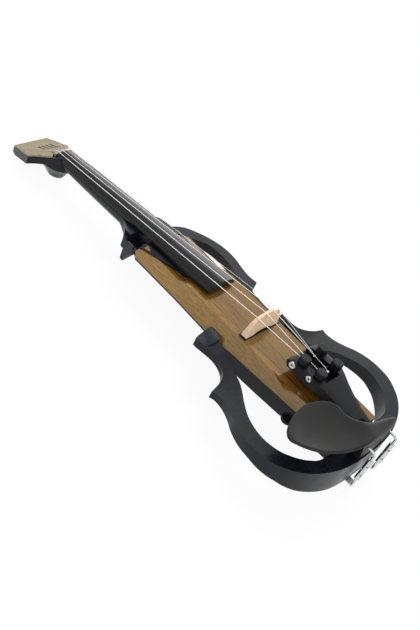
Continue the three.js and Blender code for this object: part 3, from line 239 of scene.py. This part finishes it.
# Woods: for each kind of noise its scale, its squeeze, which draws it out along the grain, and from
# where to where in its range its tone comes in
FIGURE_SCALE = 9.0
FIGURE_SQUEEZE = (3.2, 0.5, 3.2)
FIGURE_RANGE = (0.3, 0.7)
LINE_SCALE = 42.0
LINE_SQUEEZE = (16.0, 0.9, 16.0)
LINE_RANGE = (0.46, 0.66)
FLECK_SCALE = 110.0
FLECK_SQUEEZE = (7.0, 0.8, 7.0)
FLECK_RANGE = (0.54, 0.68)
FINE_SCALE = 300.0
FINE_SQUEEZE = (8.0, 0.6, 8.0)
FINE_RANGE = (0.56, 0.66)
# Strength of the fine pores as a share of the flecks', and depth of the grain
FINE_SHARE = 0.6
GRAIN_DEPTH = 0.00004
# The least and the greatest roughness that the flecks make, as shares of the wood's own
FLECK_SMOOTH = 0.7
FLECK_ROUGH = 1.3
# Glue seams: how far they wander and at what scale, and the share of their width at full strength
SEAM_SWAY = 0.0012
SWAY_SCALE = 4.0
SEAM_CORE = 0.4
# How much darker or lighter each strip is than the one before it
STRIP_SHARE = 0.14


def seamed(tree, colour, dark, light, seams):
    """The colour with dark seams along Y, and strips between them that turn darker and lighter."""
    split = tree.add("ShaderNodeSeparateXYZ")
    tree.wire(tree.place(), split.inputs[0])
    sway = tree.spread(tree.noise(SWAY_SCALE, detail=1.0), 0.0, 1.0, -SEAM_SWAY, SEAM_SWAY)
    across = tree.math("ADD", split.outputs["X"], sway)
    for count, (middle, half, strength) in enumerate(seams):
        beyond = tree.math("GREATER_THAN", across, middle)
        strip = light if count % 2 else dark
        colour = tree.mix(tree.math("MULTIPLY", beyond, STRIP_SHARE), colour, strip)
        off = tree.math("ABSOLUTE", tree.math("SUBTRACT", across, middle))
        seam = tree.spread(off, half * SEAM_CORE, half, strength, 0.0)
        colour = tree.mix(seam, colour, dark)
    return colour


def timber(name, tones, rough, scale=1.0, figure=0.35, pores=0.5, relief=0.25, seams=(), **constants):
    """Wood with its grain along Y: slow figure, growth lines, short dark pores and glue seams."""
    material = bpy.data.materials.new(name)
    tree = Tree(material)
    node = shader(tree, **constants)
    dark, middle, light = tones
    slow = tree.noise(FIGURE_SCALE * scale, FIGURE_SQUEEZE, detail=3.0, distortion=0.6)
    lines = tree.noise(LINE_SCALE * scale, LINE_SQUEEZE, detail=7.0, roughness=0.78, distortion=0.5)
    flecks = tree.noise(FLECK_SCALE * scale, FLECK_SQUEEZE, detail=3.0, roughness=0.7)
    fine = tree.noise(FINE_SCALE * scale, FINE_SQUEEZE, detail=1.0)
    colour = tree.mix(tree.spread(slow, *FIGURE_RANGE), middle, light)
    colour = tree.mix(tree.spread(lines, *LINE_RANGE, 0.0, figure), colour, dark)
    colour = tree.mix(tree.spread(flecks, *FLECK_RANGE, 0.0, pores), colour, dark)
    colour = tree.mix(tree.spread(fine, *FINE_RANGE, 0.0, FINE_SHARE * pores), colour, dark)
    if seams:
        colour = seamed(tree, colour, dark, light, seams)
    gloss = tree.spread(flecks, *GLOSS_RANGE, FLECK_SMOOTH * rough, FLECK_ROUGH * rough)
    grain = tree.math("ADD", lines, flecks)
    tree.wire(colour, node.inputs["Base Color"])
    tree.wire(gloss, node.inputs["Roughness"])
    tree.wire(tree.bump(grain, GRAIN_DEPTH, relief), node.inputs["Normal"])
    return material


SATIN = {"Specular_IOR_Level": 0.23}
# The varnish mirrors strongly, with a warm tint
VARNISH = {"IOR": 1.6, "Specular_IOR_Level": 1.0, "Specular_Tint": (1.0, 0.84, 0.56, 1.0)}
# Each seam's middle and half width, and its strength
WOOD_SEAMS = ((-0.0215, 0.0006, 0.7), (-0.0052, 0.0005, 0.9), (0.0125, 0.0006, 0.8))
# Dark, middle and light tones of the woods
STAINED = (srgb(42, 21, 7), srgb(107, 73, 25), srgb(144, 104, 42))
PALE = (srgb(78, 56, 32), srgb(118, 101, 70), srgb(146, 132, 98))
BLACK = (srgb(8, 8, 9), srgb(13, 14, 15), srgb(18, 19, 20))
MAPLE = (srgb(196, 158, 120), srgb(228, 196, 164), srgb(238, 210, 180))
# The finish of each material slot in the record
FINISH = {
    "shell": moulded("satin_black", srgb(12, 16, 22), srgb(18, 23, 31), rough=0.3, depth=0.00001, **SATIN),
    "wood": timber("varnished_wood", STAINED, rough=0.1, figure=0.6, pores=0.75, relief=0.02,
                   seams=WOOD_SEAMS, **VARNISH),
    "veneer": timber("pale_veneer", PALE, rough=0.36, scale=1.2, figure=0.75, pores=0.8,
                     Specular_IOR_Level=0.4),
    "ebony": timber("black_board", BLACK, rough=0.25, scale=1.4, Specular_IOR_Level=0.24),
    "maple": timber("bare_maple", MAPLE, rough=0.5, scale=2.4, figure=0.2, pores=0.3, **SATIN),
    "bone": moulded("polished_bone", srgb(150, 146, 134), srgb(176, 172, 160), rough=0.35),
    "steel": metal("plated_steel", (0.93, 0.93, 0.93, 1.0), rough=0.3, metallic=0.6, depth=0.000003),
    "gunmetal": metal("blackened_steel", (0.05, 0.052, 0.058, 1.0), rough=0.35),
    "chrome": metal("polished_chrome", (0.66, 0.67, 0.69, 1.0), rough=0.09, depth=0.000003),
    "casting": moulded("painted_casting", srgb(13, 14, 18), srgb(20, 21, 26), rough=0.44, grain=2200.0,
                       depth=0.00003, **SATIN),
    "chin": moulded("matt_black_chinrest", srgb(22, 22, 22), srgb(31, 31, 30), rough=0.42, grain=1800.0,
                    depth=0.00003, Specular_IOR_Level=0.25),
    "cork": moulded("cork_sheet", srgb(44, 34, 26), srgb(66, 51, 37), rough=0.85, grain=900.0,
                    depth=0.0001),
    "cell": metal("battery_sleeve", (0.3, 0.3, 0.32, 1.0), rough=0.35),
    "circuit": moulded("solder_mask", srgb(16, 66, 34), srgb(22, 86, 44), rough=0.35),
}

# Pieces
# The nodes that have their piece
settled = set()
# Degrees between two faces from which their edge is sharp and is rounded
SHARP = 33.0
# How many faces a rounded edge has on a node's own shape, and on a detailed piece
NODE_SEGMENTS = 2
DETAIL_SEGMENTS = 3
# Degrees under which two faces count as one, and the distance under which two corners do
FLAT = 0.7
SAME_CORNER = 1e-6


def link(name, mesh):
    piece = bpy.data.objects.new(name, mesh)
    scene.collection.objects.link(piece)
    return piece


def settle(piece, node):
    """The piece takes its node's place, body, slot and finish."""
    slot = slots[node]
    piece.data.materials.append(FINISH[slot])
    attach(piece, frame["nodes"][node]["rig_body"])
    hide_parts(node)
    settled.add(node)


def mesh_of(bm, name, sharp):
    """A mesh of the bmesh with smooth faces, and sharp edges where faces meet at sharp degrees or more."""
    bm.normal_update()
    for face in bm.faces:
        face.smooth = True
    for edge in bm.edges:
        edge.smooth = not edge.is_manifold or edge.calc_face_angle(0) < math.radians(sharp)
    mesh = bpy.data.meshes.new(name)
    bm.to_mesh(mesh)
    bm.free()
    return mesh


def round_edges(piece, width, segments, sharp):
    edges = piece.modifiers.new("edges", "BEVEL")
    edges.width = width * MM
    edges.segments = segments
    edges.limit_method = "ANGLE"
    edges.angle_limit = math.radians(sharp)


def weigh_normals(piece):
    """Keeps the large faces flat in the shading."""
    piece.modifiers.new("normals", "WEIGHTED_NORMAL").keep_sharp = True


def dress(node, width, sharp=SHARP):
    """A node's own shape with its edges rounded by width."""
    source = frame["nodes"][node].data
    bm = bmesh.new()
    places = [bm.verts.new(v.co) for v in source.vertices]
    for polygon in source.polygons:
        corners = [places[i] for i in polygon.vertices]
        is_triangle = len(set(corners)) == 3
        is_double = bm.faces.get(corners)
        if is_triangle and not is_double:
            bm.faces.new(corners)
    bmesh.ops.remove_doubles(bm, verts=bm.verts, dist=SAME_CORNER)
    bmesh.ops.dissolve_limit(bm, angle_limit=math.radians(FLAT), verts=bm.verts, edges=bm.edges)
    bmesh.ops.recalc_face_normals(bm, faces=bm.faces)
    piece = link(node + "_look", mesh_of(bm, node, sharp))
    if width:
        round_edges(piece, width, NODE_SEGMENTS, sharp)
    weigh_normals(piece)
    settle(piece, node)


def closed_piece(name, shells, sharp=SHARP, bevel=0.0):
    """One object of closed shells, each a list of points in metres and a list of faces."""
    bm = bmesh.new()
    for points, faces in shells:
        corners = [bm.verts.new(point) for point in points]
        for face in faces:
            bm.faces.new([corners[i] for i in face])
    bmesh.ops.recalc_face_normals(bm, faces=bm.faces)
    piece = link(name, mesh_of(bm, name, sharp))
    if bevel:
        round_edges(piece, bevel, DETAIL_SEGMENTS, sharp)
        weigh_normals(piece)
    return piece


def capped(rows, count):
    """The faces between rows of count points each, closed round, and one over each end row."""
    faces = []
    for row in range(rows - 1):
        low = row * count
        high = low + count
        for i in range(count):
            after = (i + 1) % count
            faces.append([low + i, low + after, high + after, high + i])
    last = (rows - 1) * count
    return faces + [list(range(count)), list(range(last, last + count))]


def turned(rings, sides, place, aim):
    """A turned shell about aim through place: each ring gives its height, and its radius or a
    function that gives its radius at an angle."""
    turn = UP.rotation_difference(Vector(aim)).to_matrix()
    points = []
    for height, radius in rings:
        for i in range(sides):
            angle = 2 * math.pi * i / sides
            reach = radius(angle) if callable(radius) else radius
            corner = Vector((reach * math.cos(angle), reach * math.sin(angle), height))
            points.append(Vector(place) + turn @ corner * MM)
    return points, capped(len(rings), sides)


def hexagon(flat):
    """Radius of a hexagon whose flats lie at flat from its middle."""
    return lambda angle: flat / math.cos((angle + math.pi / 6) % (math.pi / 3) - math.pi / 6)


def cross(length, half):
    """Radius of a cross whose arms reach length and are half wide on each side."""
    def reach(angle):
        c = abs(math.cos(angle)) + TINY
        s = abs(math.sin(angle)) + TINY
        return max(min(length / c, half / s), min(length / s, half / c))
    return reach


def ribbed(radius, depth, count):
    """Radius of a wheel with count ribs, depth high."""
    return lambda angle: radius - depth * (0.5 + 0.5 * math.cos(count * angle))


def span_of(node):
    """Lowest and highest corner of a node at rest, in metres."""
    source = frame["nodes"][node]
    places = [source.matrix_world @ v.co for v in source.data.vertices]
    return [Vector([pick(p[k] for p in places) for k in range(3)]) for pick in (min, max)]


def upright(node):
    """The lower end of a node's upright axis in metres, and its radius and height in millimetres."""
    low, high = span_of(node)
    foot = Vector(((low.x + high.x) / 2, (low.y + high.y) / 2, low.z))
    return foot, (high.x - low.x) / 2 / MM, (high.z - low.z) / MM


# Stage and light
FLOOR_HALF = 6.0
FLOOR_TONE = (0.9, 0.9, 0.9, 1)
# How far the floor glows white to the camera. The rest of it is matt and keeps the object's shadow.
BACKDROP_SHARE = 0.93
# Strength of the world on matt surfaces. The camera and a gloss see it white.
WORLD_LIGHT = 0.5
# Each lamp's name, where it comes from, its power, how wide it is in degrees, and whether a gloss shows it
LAMPS = (
    ("key", (1.2, 0.7, 1.4), 2.3, 45.0, False),
    ("tail", (-0.3, -1.6, 1.0), 1.3, 40.0, False),
    ("front", (-1.4, 0.3, 1.2), 0.4, 40.0, False),
    ("rim", (1.0, 0.5, 0.22), 0.8, 44.0, True),
    ("glint", (0.503, 0.3, 0.79), 0.12, 9.0, True),
)


def shown_rays(tree):
    """1 for what the camera, a gloss or a glass sees directly."""
    path = tree.add("ShaderNodeLightPath").outputs
    seen = tree.math("MAXIMUM", path["Is Camera Ray"], path["Is Glossy Ray"])
    return tree.math("MAXIMUM", seen, path["Is Transmission Ray"])


def make_stage():
    bm = bmesh.new()
    corners = [(-1, -1), (1, -1), (1, 1), (-1, 1)]
    bm.faces.new([bm.verts.new((x * FLOOR_HALF, y * FLOOR_HALF, 0)) for x, y in corners])
    mesh = bpy.data.meshes.new("floor")
    bm.to_mesh(mesh)
    bm.free()
    floor = link("floor", mesh)
    material = bpy.data.materials.new("white_floor")
    tree = Tree(material)
    matt = tree.add("ShaderNodeBsdfDiffuse")
    matt.inputs[0].default_value = FLOOR_TONE
    glow = tree.add("ShaderNodeEmission")
    blend = tree.add("ShaderNodeMixShader")
    tree.wire(tree.math("MULTIPLY", shown_rays(tree), BACKDROP_SHARE), blend.inputs[0])
    tree.wire(matt.outputs[0], blend.inputs[1])
    tree.wire(glow.outputs[0], blend.inputs[2])
    tree.wire(blend.outputs[0], tree.add("ShaderNodeOutputMaterial").inputs[0])
    mesh.materials.append(material)


def make_light():
    """Soft even light. The low rim lamp and the small glint lamp also show as a sheen."""
    world = bpy.data.worlds.new("studio")
    scene.world = world
    tree = Tree(world)
    sky = tree.add("ShaderNodeBackground")
    tree.wire(tree.spread(shown_rays(tree), 0.0, 1.0, WORLD_LIGHT, 1.0), sky.inputs["Strength"])
    sky.inputs["Color"].default_value = (1, 1, 1, 1)
    tree.wire(sky.outputs[0], tree.add("ShaderNodeOutputWorld").inputs[0])
    for name, source, power, width, glossy in LAMPS:
        data = bpy.data.lights.new(name, "SUN")
        data.energy = power
        data.angle = math.radians(width)
        lamp = bpy.data.objects.new(name, data)
        lamp.visible_glossy = glossy
        lamp.rotation_mode = "QUATERNION"
        lamp.rotation_quaternion = Vector(source).to_track_quat("Z", "Y")
        scene.collection.objects.link(lamp)


# Chinrest, a smooth dish on its arm with a curved foot
# Its outline from above, in units of CHIN_UNIT from CHIN_CENTRE, and the smooth steps between two points
CHIN_SHARES = (
    (2.02, -0.42), (1.96, -0.34), (1.8, -0.285), (1.44, -0.215), (1.14, -0.155), (0.98, -0.06),
    (0.86, 0.09), (0.78, 0.29), (0.77, 0.5), (0.68, 0.68), (0.44, 0.84), (0.11, 0.93), (-0.29, 0.9),
    (-0.6, 0.8), (-0.85, 0.66), (-0.95, 0.49), (-0.86, 0.3), (-0.6, 0.07), (-0.34, -0.12),
    (-0.08, -0.26), (0.22, -0.4), (0.53, -0.5), (0.85, -0.53), (1.2, -0.54), (1.62, -0.52), (1.9, -0.47),
)
OUTLINE_STEPS = 5
CHIN_UNIT = 45.0
CHIN_CENTRE = Vector((-52.0, -244.25))
# The plate's thickness, and the height of its rim in the frame
CHIN_WALL = 3.2
CHIN_RIM = 72.5
# Degrees from which the chinrest's edges are sharp, and how wide these are rounded
CHIN_SHARP = 40.0
CHIN_BEVEL = 0.8
# Radius of the plate's upper and of its lower edge
CHIN_ROUND = 2.0
CHIN_UNDER = 1.0
# The dish: its depth, half its length and half its width, and the power that shapes it
CHIN_CUP = 7.6
CUP_HALF_LENGTH = 43.0
CUP_HALF_WIDTH = 40.0
CUP_POWER = 1.15
# Where the arm starts and over what length it forms, in the same units
ARM_START = 0.55
ARM_SPAN = 0.9
# The arm's fall to its end: where it starts in these units, how far it goes, and the power that bends it
FALL_START = 0.9
ARM_FALL = 5.0
FALL_POWER = 1.25
# The arm's crown: how far it drops, from what line, and over what width
ARM_CROWN = 4.4
ARM_CREST = -11.0
ARM_WIDTH = 13.0
# How much the arm adds to the wall and to the upper edge's radius
ARM_WALL = 3.0
ARM_ROUND = 2.2
# Distances of the rows of points beside the outline, and the share of it that a row's point must keep
EDGE_ROWS = (0.12, 0.45, 1.0, 1.8, 2.8, 4.2)
ROW_KEEP = 0.94
# The grid inside the rows: its step, its distance from the outline, and its end in units
GRID_STEP = 2.6
GRID_MARGIN = 5.2
GRID_END = 2.1
# Distance under which two points of the plate count as one
SNAP = 1e-4
# The foot's sides, front and bottom in the frame
FOOT_LEFT = -19.1
FOOT_RIGHT = 34.5
FOOT_FRONT = -255.75
FOOT_BOTTOM = 43.7
# The foot's back follows the outline below this many units, this far inside it
FOOT_SHARE = -0.3
FOOT_INSET = 0.6
# The notch in the foot's front
NOTCH_HALF = 14.0
NOTCH_DEPTH = 3.0
# The foot ends inside the plate, this share of the wall under its upper face
FOOT_SUNK = 0.55
# Shares of the foot's height, and how far its back is drawn in there, from COVE_START behind its front
COVE = ((0.0, -0.4), (0.12, -0.1), (0.3, 0.9), (0.5, 2.0), (0.7, 2.8), (0.88, 2.6), (1.0, 1.8))
COVE_START = 4.0


def smooth_loop(points, per_span):
    """Catmull-Rom points round a closed outline."""
    count = len(points)
    result = []
    for i in range(count):
        a, b, c, d = (Vector(points[(i + k) % count]) for k in (-1, 0, 1, 2))
        bend = 2 * a - 5 * b + 4 * c - d
        swing = 3 * b - a - 3 * c + d
        for step in range(per_span):
            t = step / per_span
            result.append(0.5 * (2 * b + (c - a) * t + bend * t * t + swing * t ** 3))
    return result


def outline_distance(loop, place):
    """Distance from a place to the nearest side of the outline."""
    nearest = math.inf
    for i, start in enumerate(loop):
        side = loop[(i + 1) % len(loop)] - start
        along = (place - start).dot(side) / max(side.length_squared, TINY)
        along = max(0.0, min(1.0, along))
        nearest = min(nearest, (place - start - side * along).length)
    return nearest


def arm_share(x):
    """0 on the dish and 1 far out on the arm."""
    t = max(0.0, min(1.0, (x / CHIN_UNIT - ARM_START) / ARM_SPAN))
    return t * t * (3 - 2 * t)


def chin_height(x, y):
    """Height of the plate's upper face at a place from its centre, without its rounded edge."""
    fall = ARM_FALL * max(0.0, x / CHIN_UNIT - FALL_START) ** FALL_POWER
    dish = max(0.0, 1 - (x / CUP_HALF_LENGTH) ** 2 - (y / CUP_HALF_WIDTH) ** 2)
    across = max(0.0, (ARM_CREST - y) / ARM_WIDTH)
    return CHIN_RIM - fall - CHIN_CUP * dish ** CUP_POWER - arm_share(x) * ARM_CROWN * across ** 2


def rounding(distance, radius):
    """How far an edge of this radius has dropped at a distance from the outline."""
    short = max(0.0, radius - distance)
    return radius - math.sqrt(radius ** 2 - short ** 2)


def rows_beside(loop):
    """Places in rows along both sides of the outline. Those outside it are dropped later."""
    places = []
    for row in EDGE_ROWS:
        for i, corner in enumerate(loop):
            side = (loop[(i + 1) % len(loop)] - loop[i - 1]).normalized()
            for hand in (1, -1):
                place = corner + Vector((-side.y, side.x)) * row * hand
                if outline_distance(loop, place) > ROW_KEEP * row:
                    places.append(place)
    return places


def grid_over(loop):
    """Places on a square grid that lie clear of the outline and its rows."""
    places = []
    x = -CHIN_UNIT
    while x < GRID_END * CHIN_UNIT:
        y = -CHIN_UNIT
        while y < CHIN_UNIT:
            place = Vector((x, y))
            if outline_distance(loop, place) > GRID_MARGIN:
                places.append(place)
            y += GRID_STEP
        x += GRID_STEP
    return places


def chinrest_plate(loop):
    """The dish with its arm: an upper and an under face of triangles, with walls round the outline."""
    count = len(loop)
    inner = rows_beside(loop) + grid_over(loop)
    flat = delaunay_2d_cdt(loop + inner, [], [list(range(count))], 1, SNAP)
    spots, triangles, origins = flat[0], flat[2], flat[3]
    on_outline = {i for i, came in enumerate(origins) if any(k < count for k in came)}
    gaps = [0.0 if i in on_outline else outline_distance(loop, p) for i, p in enumerate(spots)]
    points = []
    for under in (False, True):
        for p, gap in zip(spots, gaps):
            arm = arm_share(p.x)
            z = chin_height(p.x, p.y)
            if under:
                z += rounding(gap, CHIN_UNDER) - CHIN_WALL - arm * ARM_WALL
            else:
                z -= rounding(gap, CHIN_ROUND + arm * ARM_ROUND)
            points.append(Vector((CHIN_CENTRE.x + p.x, CHIN_CENTRE.y + p.y, z)) * MM)
    shift = len(spots)
    sides = dict.fromkeys((a, b) for t in triangles for a, b in zip(t, t[1:] + t[:1]))
    walls = [[b, a, a + shift, b + shift] for a, b in sides if (b, a) not in sides]
    faces = [list(t) for t in triangles] + [[i + shift for i in reversed(t)] for t in triangles] + walls
    return only_used(points, faces)


def only_used(points, faces):
    """The points that a face uses, and the faces with their new numbers."""
    used = sorted({i for face in faces for i in face})
    number = {old: new for new, old in enumerate(used)}
    return [points[i] for i in used], [[number[i] for i in face] for face in faces]


def chinrest_foot(loop):
    """The foot: a notched block whose back follows the outline and is drawn in under the plate."""
    outline = [(p.x + CHIN_CENTRE.x, p.y + CHIN_CENTRE.y) for p in loop if p.y < FOOT_SHARE * CHIN_UNIT]
    back = sorted((x, y + FOOT_INSET) for x, y in outline if FOOT_LEFT < x < FOOT_RIGHT)
    around = [(FOOT_LEFT, FOOT_FRONT), (FOOT_LEFT, back[0][1])] + back
    around += [(FOOT_RIGHT, back[-1][1]), (FOOT_RIGHT, FOOT_FRONT)]
    inner = FOOT_FRONT - NOTCH_DEPTH
    around += [(NOTCH_HALF, FOOT_FRONT), (NOTCH_HALF, inner), (-NOTCH_HALF, inner), (-NOTCH_HALF, FOOT_FRONT)]
    points = []
    for rise, inset in COVE:
        for x, y in around:
            top = chin_height(x - CHIN_CENTRE.x, y - CHIN_CENTRE.y) - FOOT_SUNK * CHIN_WALL
            step = inset if y < FOOT_FRONT - COVE_START else 0.0
            points.append(Vector((x, y + step, FOOT_BOTTOM + rise * (top - FOOT_BOTTOM))) * MM)
    return points, capped(len(COVE), len(around))


def make_chinrest():
    loop = smooth_loop([(x * CHIN_UNIT, y * CHIN_UNIT) for x, y in CHIN_SHARES], OUTLINE_STEPS)
    shells = [chinrest_plate(loop), chinrest_foot(loop)]
    settle(closed_piece("chinrest_look", shells, CHIN_SHARP, CHIN_BEVEL), "chinrest")


# Clamp barrels, with key holes between two grooves
BARREL_BORE = 1.75
BARREL_CHAMFER = 0.5
BARREL_SIDES = 64
# Each key hole's height as a share of the barrel's, and its angle
KEY_HOLES = ((0.27, 0.7), (0.5, 0.7 + math.pi / 2), (0.73, 0.7))
KEY_RADIUS = 1.25
# Shares of the barrel's radius: what is left at the floor of a key hole, and the depth of a groove
KEY_FLOOR = 0.6
GROOVE_SHARE = 0.12
# The lower groove's start above the lower end, and the upper groove's start below the upper end
GROOVE_LOW = 2.2
GROOVE_HIGH = 3.4
# Heights from a groove's start: where its floor starts, where its floor ends, and where the groove ends
GROOVE_FLOOR = 0.3
GROOVE_RISE = 0.9
GROOVE_END = 1.2
# How far from each end the drilled part stops, and about how far apart its rings are
DRILLED_START = 4.0
RING_STEP = 0.35


def drilled(radius, height, holes):
    """A barrel's radius at an angle, sunk where one of its key holes is."""
    def reach(angle):
        for level, start in holes:
            off = (angle - start + math.pi / 2) % math.pi - math.pi / 2
            if math.hypot(off * radius, height - level) < KEY_RADIUS:
                return KEY_FLOOR * radius
        return radius
    return reach


def groove(start, radius):
    """Rings of a groove with sloping sides."""
    sunk = radius - GROOVE_SHARE * radius
    return [(start, radius), (start + GROOVE_FLOOR, sunk), (start + GROOVE_RISE, sunk),
            (start + GROOVE_END, radius)]


def make_barrels():
    for node in ("clamp_barrel_bass", "clamp_barrel_treble"):
        foot, radius, tall = upright(node)
        holes = [(tall * share, angle) for share, angle in KEY_HOLES]
        drilled_tall = tall - 2 * DRILLED_START
        steps = int(drilled_tall / RING_STEP)
        levels = [DRILLED_START + drilled_tall * i / steps for i in range(steps + 1)]
        edge = radius - BARREL_CHAMFER
        rings = [(0.0, BARREL_BORE), (0.0, edge), (BARREL_CHAMFER, radius)]
        rings += groove(GROOVE_LOW, radius)
        rings += [(level, drilled(radius, level, holes)) for level in levels]
        rings += groove(tall - GROOVE_HIGH, radius)
        rings += [(tall - BARREL_CHAMFER, radius), (tall, edge), (tall, BARREL_BORE)]
        settle(closed_piece(node + "_look", [turned(rings, BARREL_SIDES, foot, (0, 0, 1))]), node)


# Tuner screws
# Rings of the head with its socket, and of the shank: each one's height from the head's face, and radius
SOCKET = hexagon(1.2)
SCREW_HEAD = ((-1.6, 3.3), (-1.5, 3.6), (-0.2, 3.6), (0.0, 3.4), (0.0, 1.7), (-0.3, 1.5), (-0.3, SOCKET),
              (-1.5, SOCKET))
SCREW_SHANK = ((-10.0, 1.2), (-9.5, 1.3), (-1.2, 1.3))
# A dark plug in the socket: painted shade that makes the socket look deep
SOCKET_SHADE_PLUG = ((-1.45, 1.4), (-0.5, 1.4))
HEAD_SIDES = 36
SHANK_SIDES = 16
SHADE_PLUG_SIDES = 24
# How far the face stands out of its node, for the strings d and a, and for g and e
PROUD_MIDDLE = 1.4
PROUD_OUTER = 0.6


def make_tuner_screws():
    for string in "gdae":
        node = "tuner_screw_" + string
        low, high = span_of(node)
        middle = (low + high) / 2
        side = -1 if middle.x < 0 else 1
        proud = PROUD_MIDDLE if string in "da" else PROUD_OUTER
        end = low.x if side < 0 else high.x
        face = Vector((end + proud * side * MM, middle.y, middle.z))
        aim = (side, 0, 0)
        shells = [turned(SCREW_HEAD, HEAD_SIDES, face, aim), turned(SCREW_SHANK, SHANK_SIDES, face, aim)]
        settle(closed_piece(node + "_look", shells), node)
        # The dark plug is painted shade, standing in for the shade deep in the socket
        shade_plug = closed_piece(node + "_socket_painted_shade", [turned(SOCKET_SHADE_PLUG, SHADE_PLUG_SIDES, face, aim)])
        shade_plug.data.materials.append(FINISH["gunmetal"])
        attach(shade_plug, frame["nodes"][node]["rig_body"])


# Back screws, with cross slots
# Each kind's radius of the head and of the shank, and depth of the slot
BACK_SCREWS = {"cover_screw": (1.9, 1.5, 0.6), "neck_screw": (4.0, 2.2, 1.4)}
BACK_SCREW_SIDES = 48
# The slot's reach and half width, and the head's flat face, as shares of the head's radius
SLOT_REACH = 0.58
SLOT_HALF = 0.15
FACE_SHARE = 0.86
# How much wider the slot is at its mouth
SLOT_MOUTH = 1.06
# The point's radius and height as shares of the shank's radius
POINT_RADIUS = 0.5
POINT_HEIGHT = 0.7
# Depths from the head's face as shares of the slot's depth: the shank's end, the head's back and its edge
SHANK_END = 2
HEAD_BACK = 1.9
HEAD_EDGE = 0.35


def back_screw_rings(head, shank, depth, length):
    """Rings from the screw's point to the floor of its slot, with heights from the face of its head."""
    slot = cross(SLOT_REACH * head, SLOT_HALF * head)
    return [
        (-length, POINT_RADIUS * shank),
        (POINT_HEIGHT * shank - length, shank),
        (-SHANK_END * depth, shank),
        (-HEAD_BACK * depth, head),
        (-HEAD_EDGE * depth, head),
        (0.0, FACE_SHARE * head),
        (0.0, lambda angle: SLOT_MOUTH * slot(angle)),
        (-depth, slot),
    ]


def make_back_screws():
    for node in sorted(n for n in frame["nodes"] if n.startswith(tuple(BACK_SCREWS))):
        face, _, length = upright(node)
        kind = node.rsplit("_", 1)[0]
        rings = back_screw_rings(*BACK_SCREWS[kind], length)
        settle(closed_piece(node + "_look", [turned(rings, BACK_SCREW_SIDES, face, (0, 0, -1))]), node)


# Thumb wheels, with ribs round them
WHEEL_RADIUS = 7.0
WHEEL_FACE = 6.1
WHEEL_HUB = 5.2
WHEEL_CHAMFER = 0.5
RIB_DEPTH = 0.45
RIBS = 40
WHEEL_SIDES = 160


def make_wheels():
    rim = ribbed(WHEEL_RADIUS, RIB_DEPTH, RIBS)
    for node in ("volume_wheel", "tone_wheel"):
        foot, _, tall = upright(node)
        rings = [(0.0, WHEEL_HUB), (0.0, WHEEL_FACE), (WHEEL_CHAMFER, rim), (tall - WHEEL_CHAMFER, rim),
                 (tall, WHEEL_FACE), (tall, WHEEL_HUB)]
        settle(closed_piece(node + "_look", [turned(rings, WHEEL_SIDES, foot, (0, 0, 1))]), node)


# Other nodes, which keep their own shape
# How wide their edges are rounded, by the start of their names
EDGES = {
    "frame_lower": 0.9, "frame_upper": 0.9, "neck": 0.7, "body_core": 0.6, "wood_top": 0.5,
    "headstock_veneer": 0.25, "fingerboard": 0.5, "bridge": 0.5, "tailpiece": 0.5, "chinrest_cork": 0.8,
    "nut": 0.3, "tuner_knob": 0.3,
}
PLAIN_EDGE = 0.2
# Round wires aren't rounded further, and their edges are smooth up to this many degrees
WIRES = ("string", "clamp_arm")
WIRE_SHARP = 70.0
# The wood's bevels meet its plateau at a low angle, and their edges are sharp all the same
WOOD_SHARP = 11.0


def dress_others():
    """Finishes every node that no detailed piece stands for."""
    for node in sorted(set(frame["nodes"]) - settled):
        width = next((size for start, size in EDGES.items() if node.startswith(start)), PLAIN_EDGE)
        if node.startswith(WIRES):
            dress(node, 0.0, WIRE_SHARP)
        elif node == "wood_top":
            dress(node, width, WOOD_SHARP)
        else:
            dress(node, width)


place_camera()
make_stage()
make_light()
make_chinrest()
make_barrels()
make_tuner_screws()
make_back_screws()
make_wheels()
dress_others()
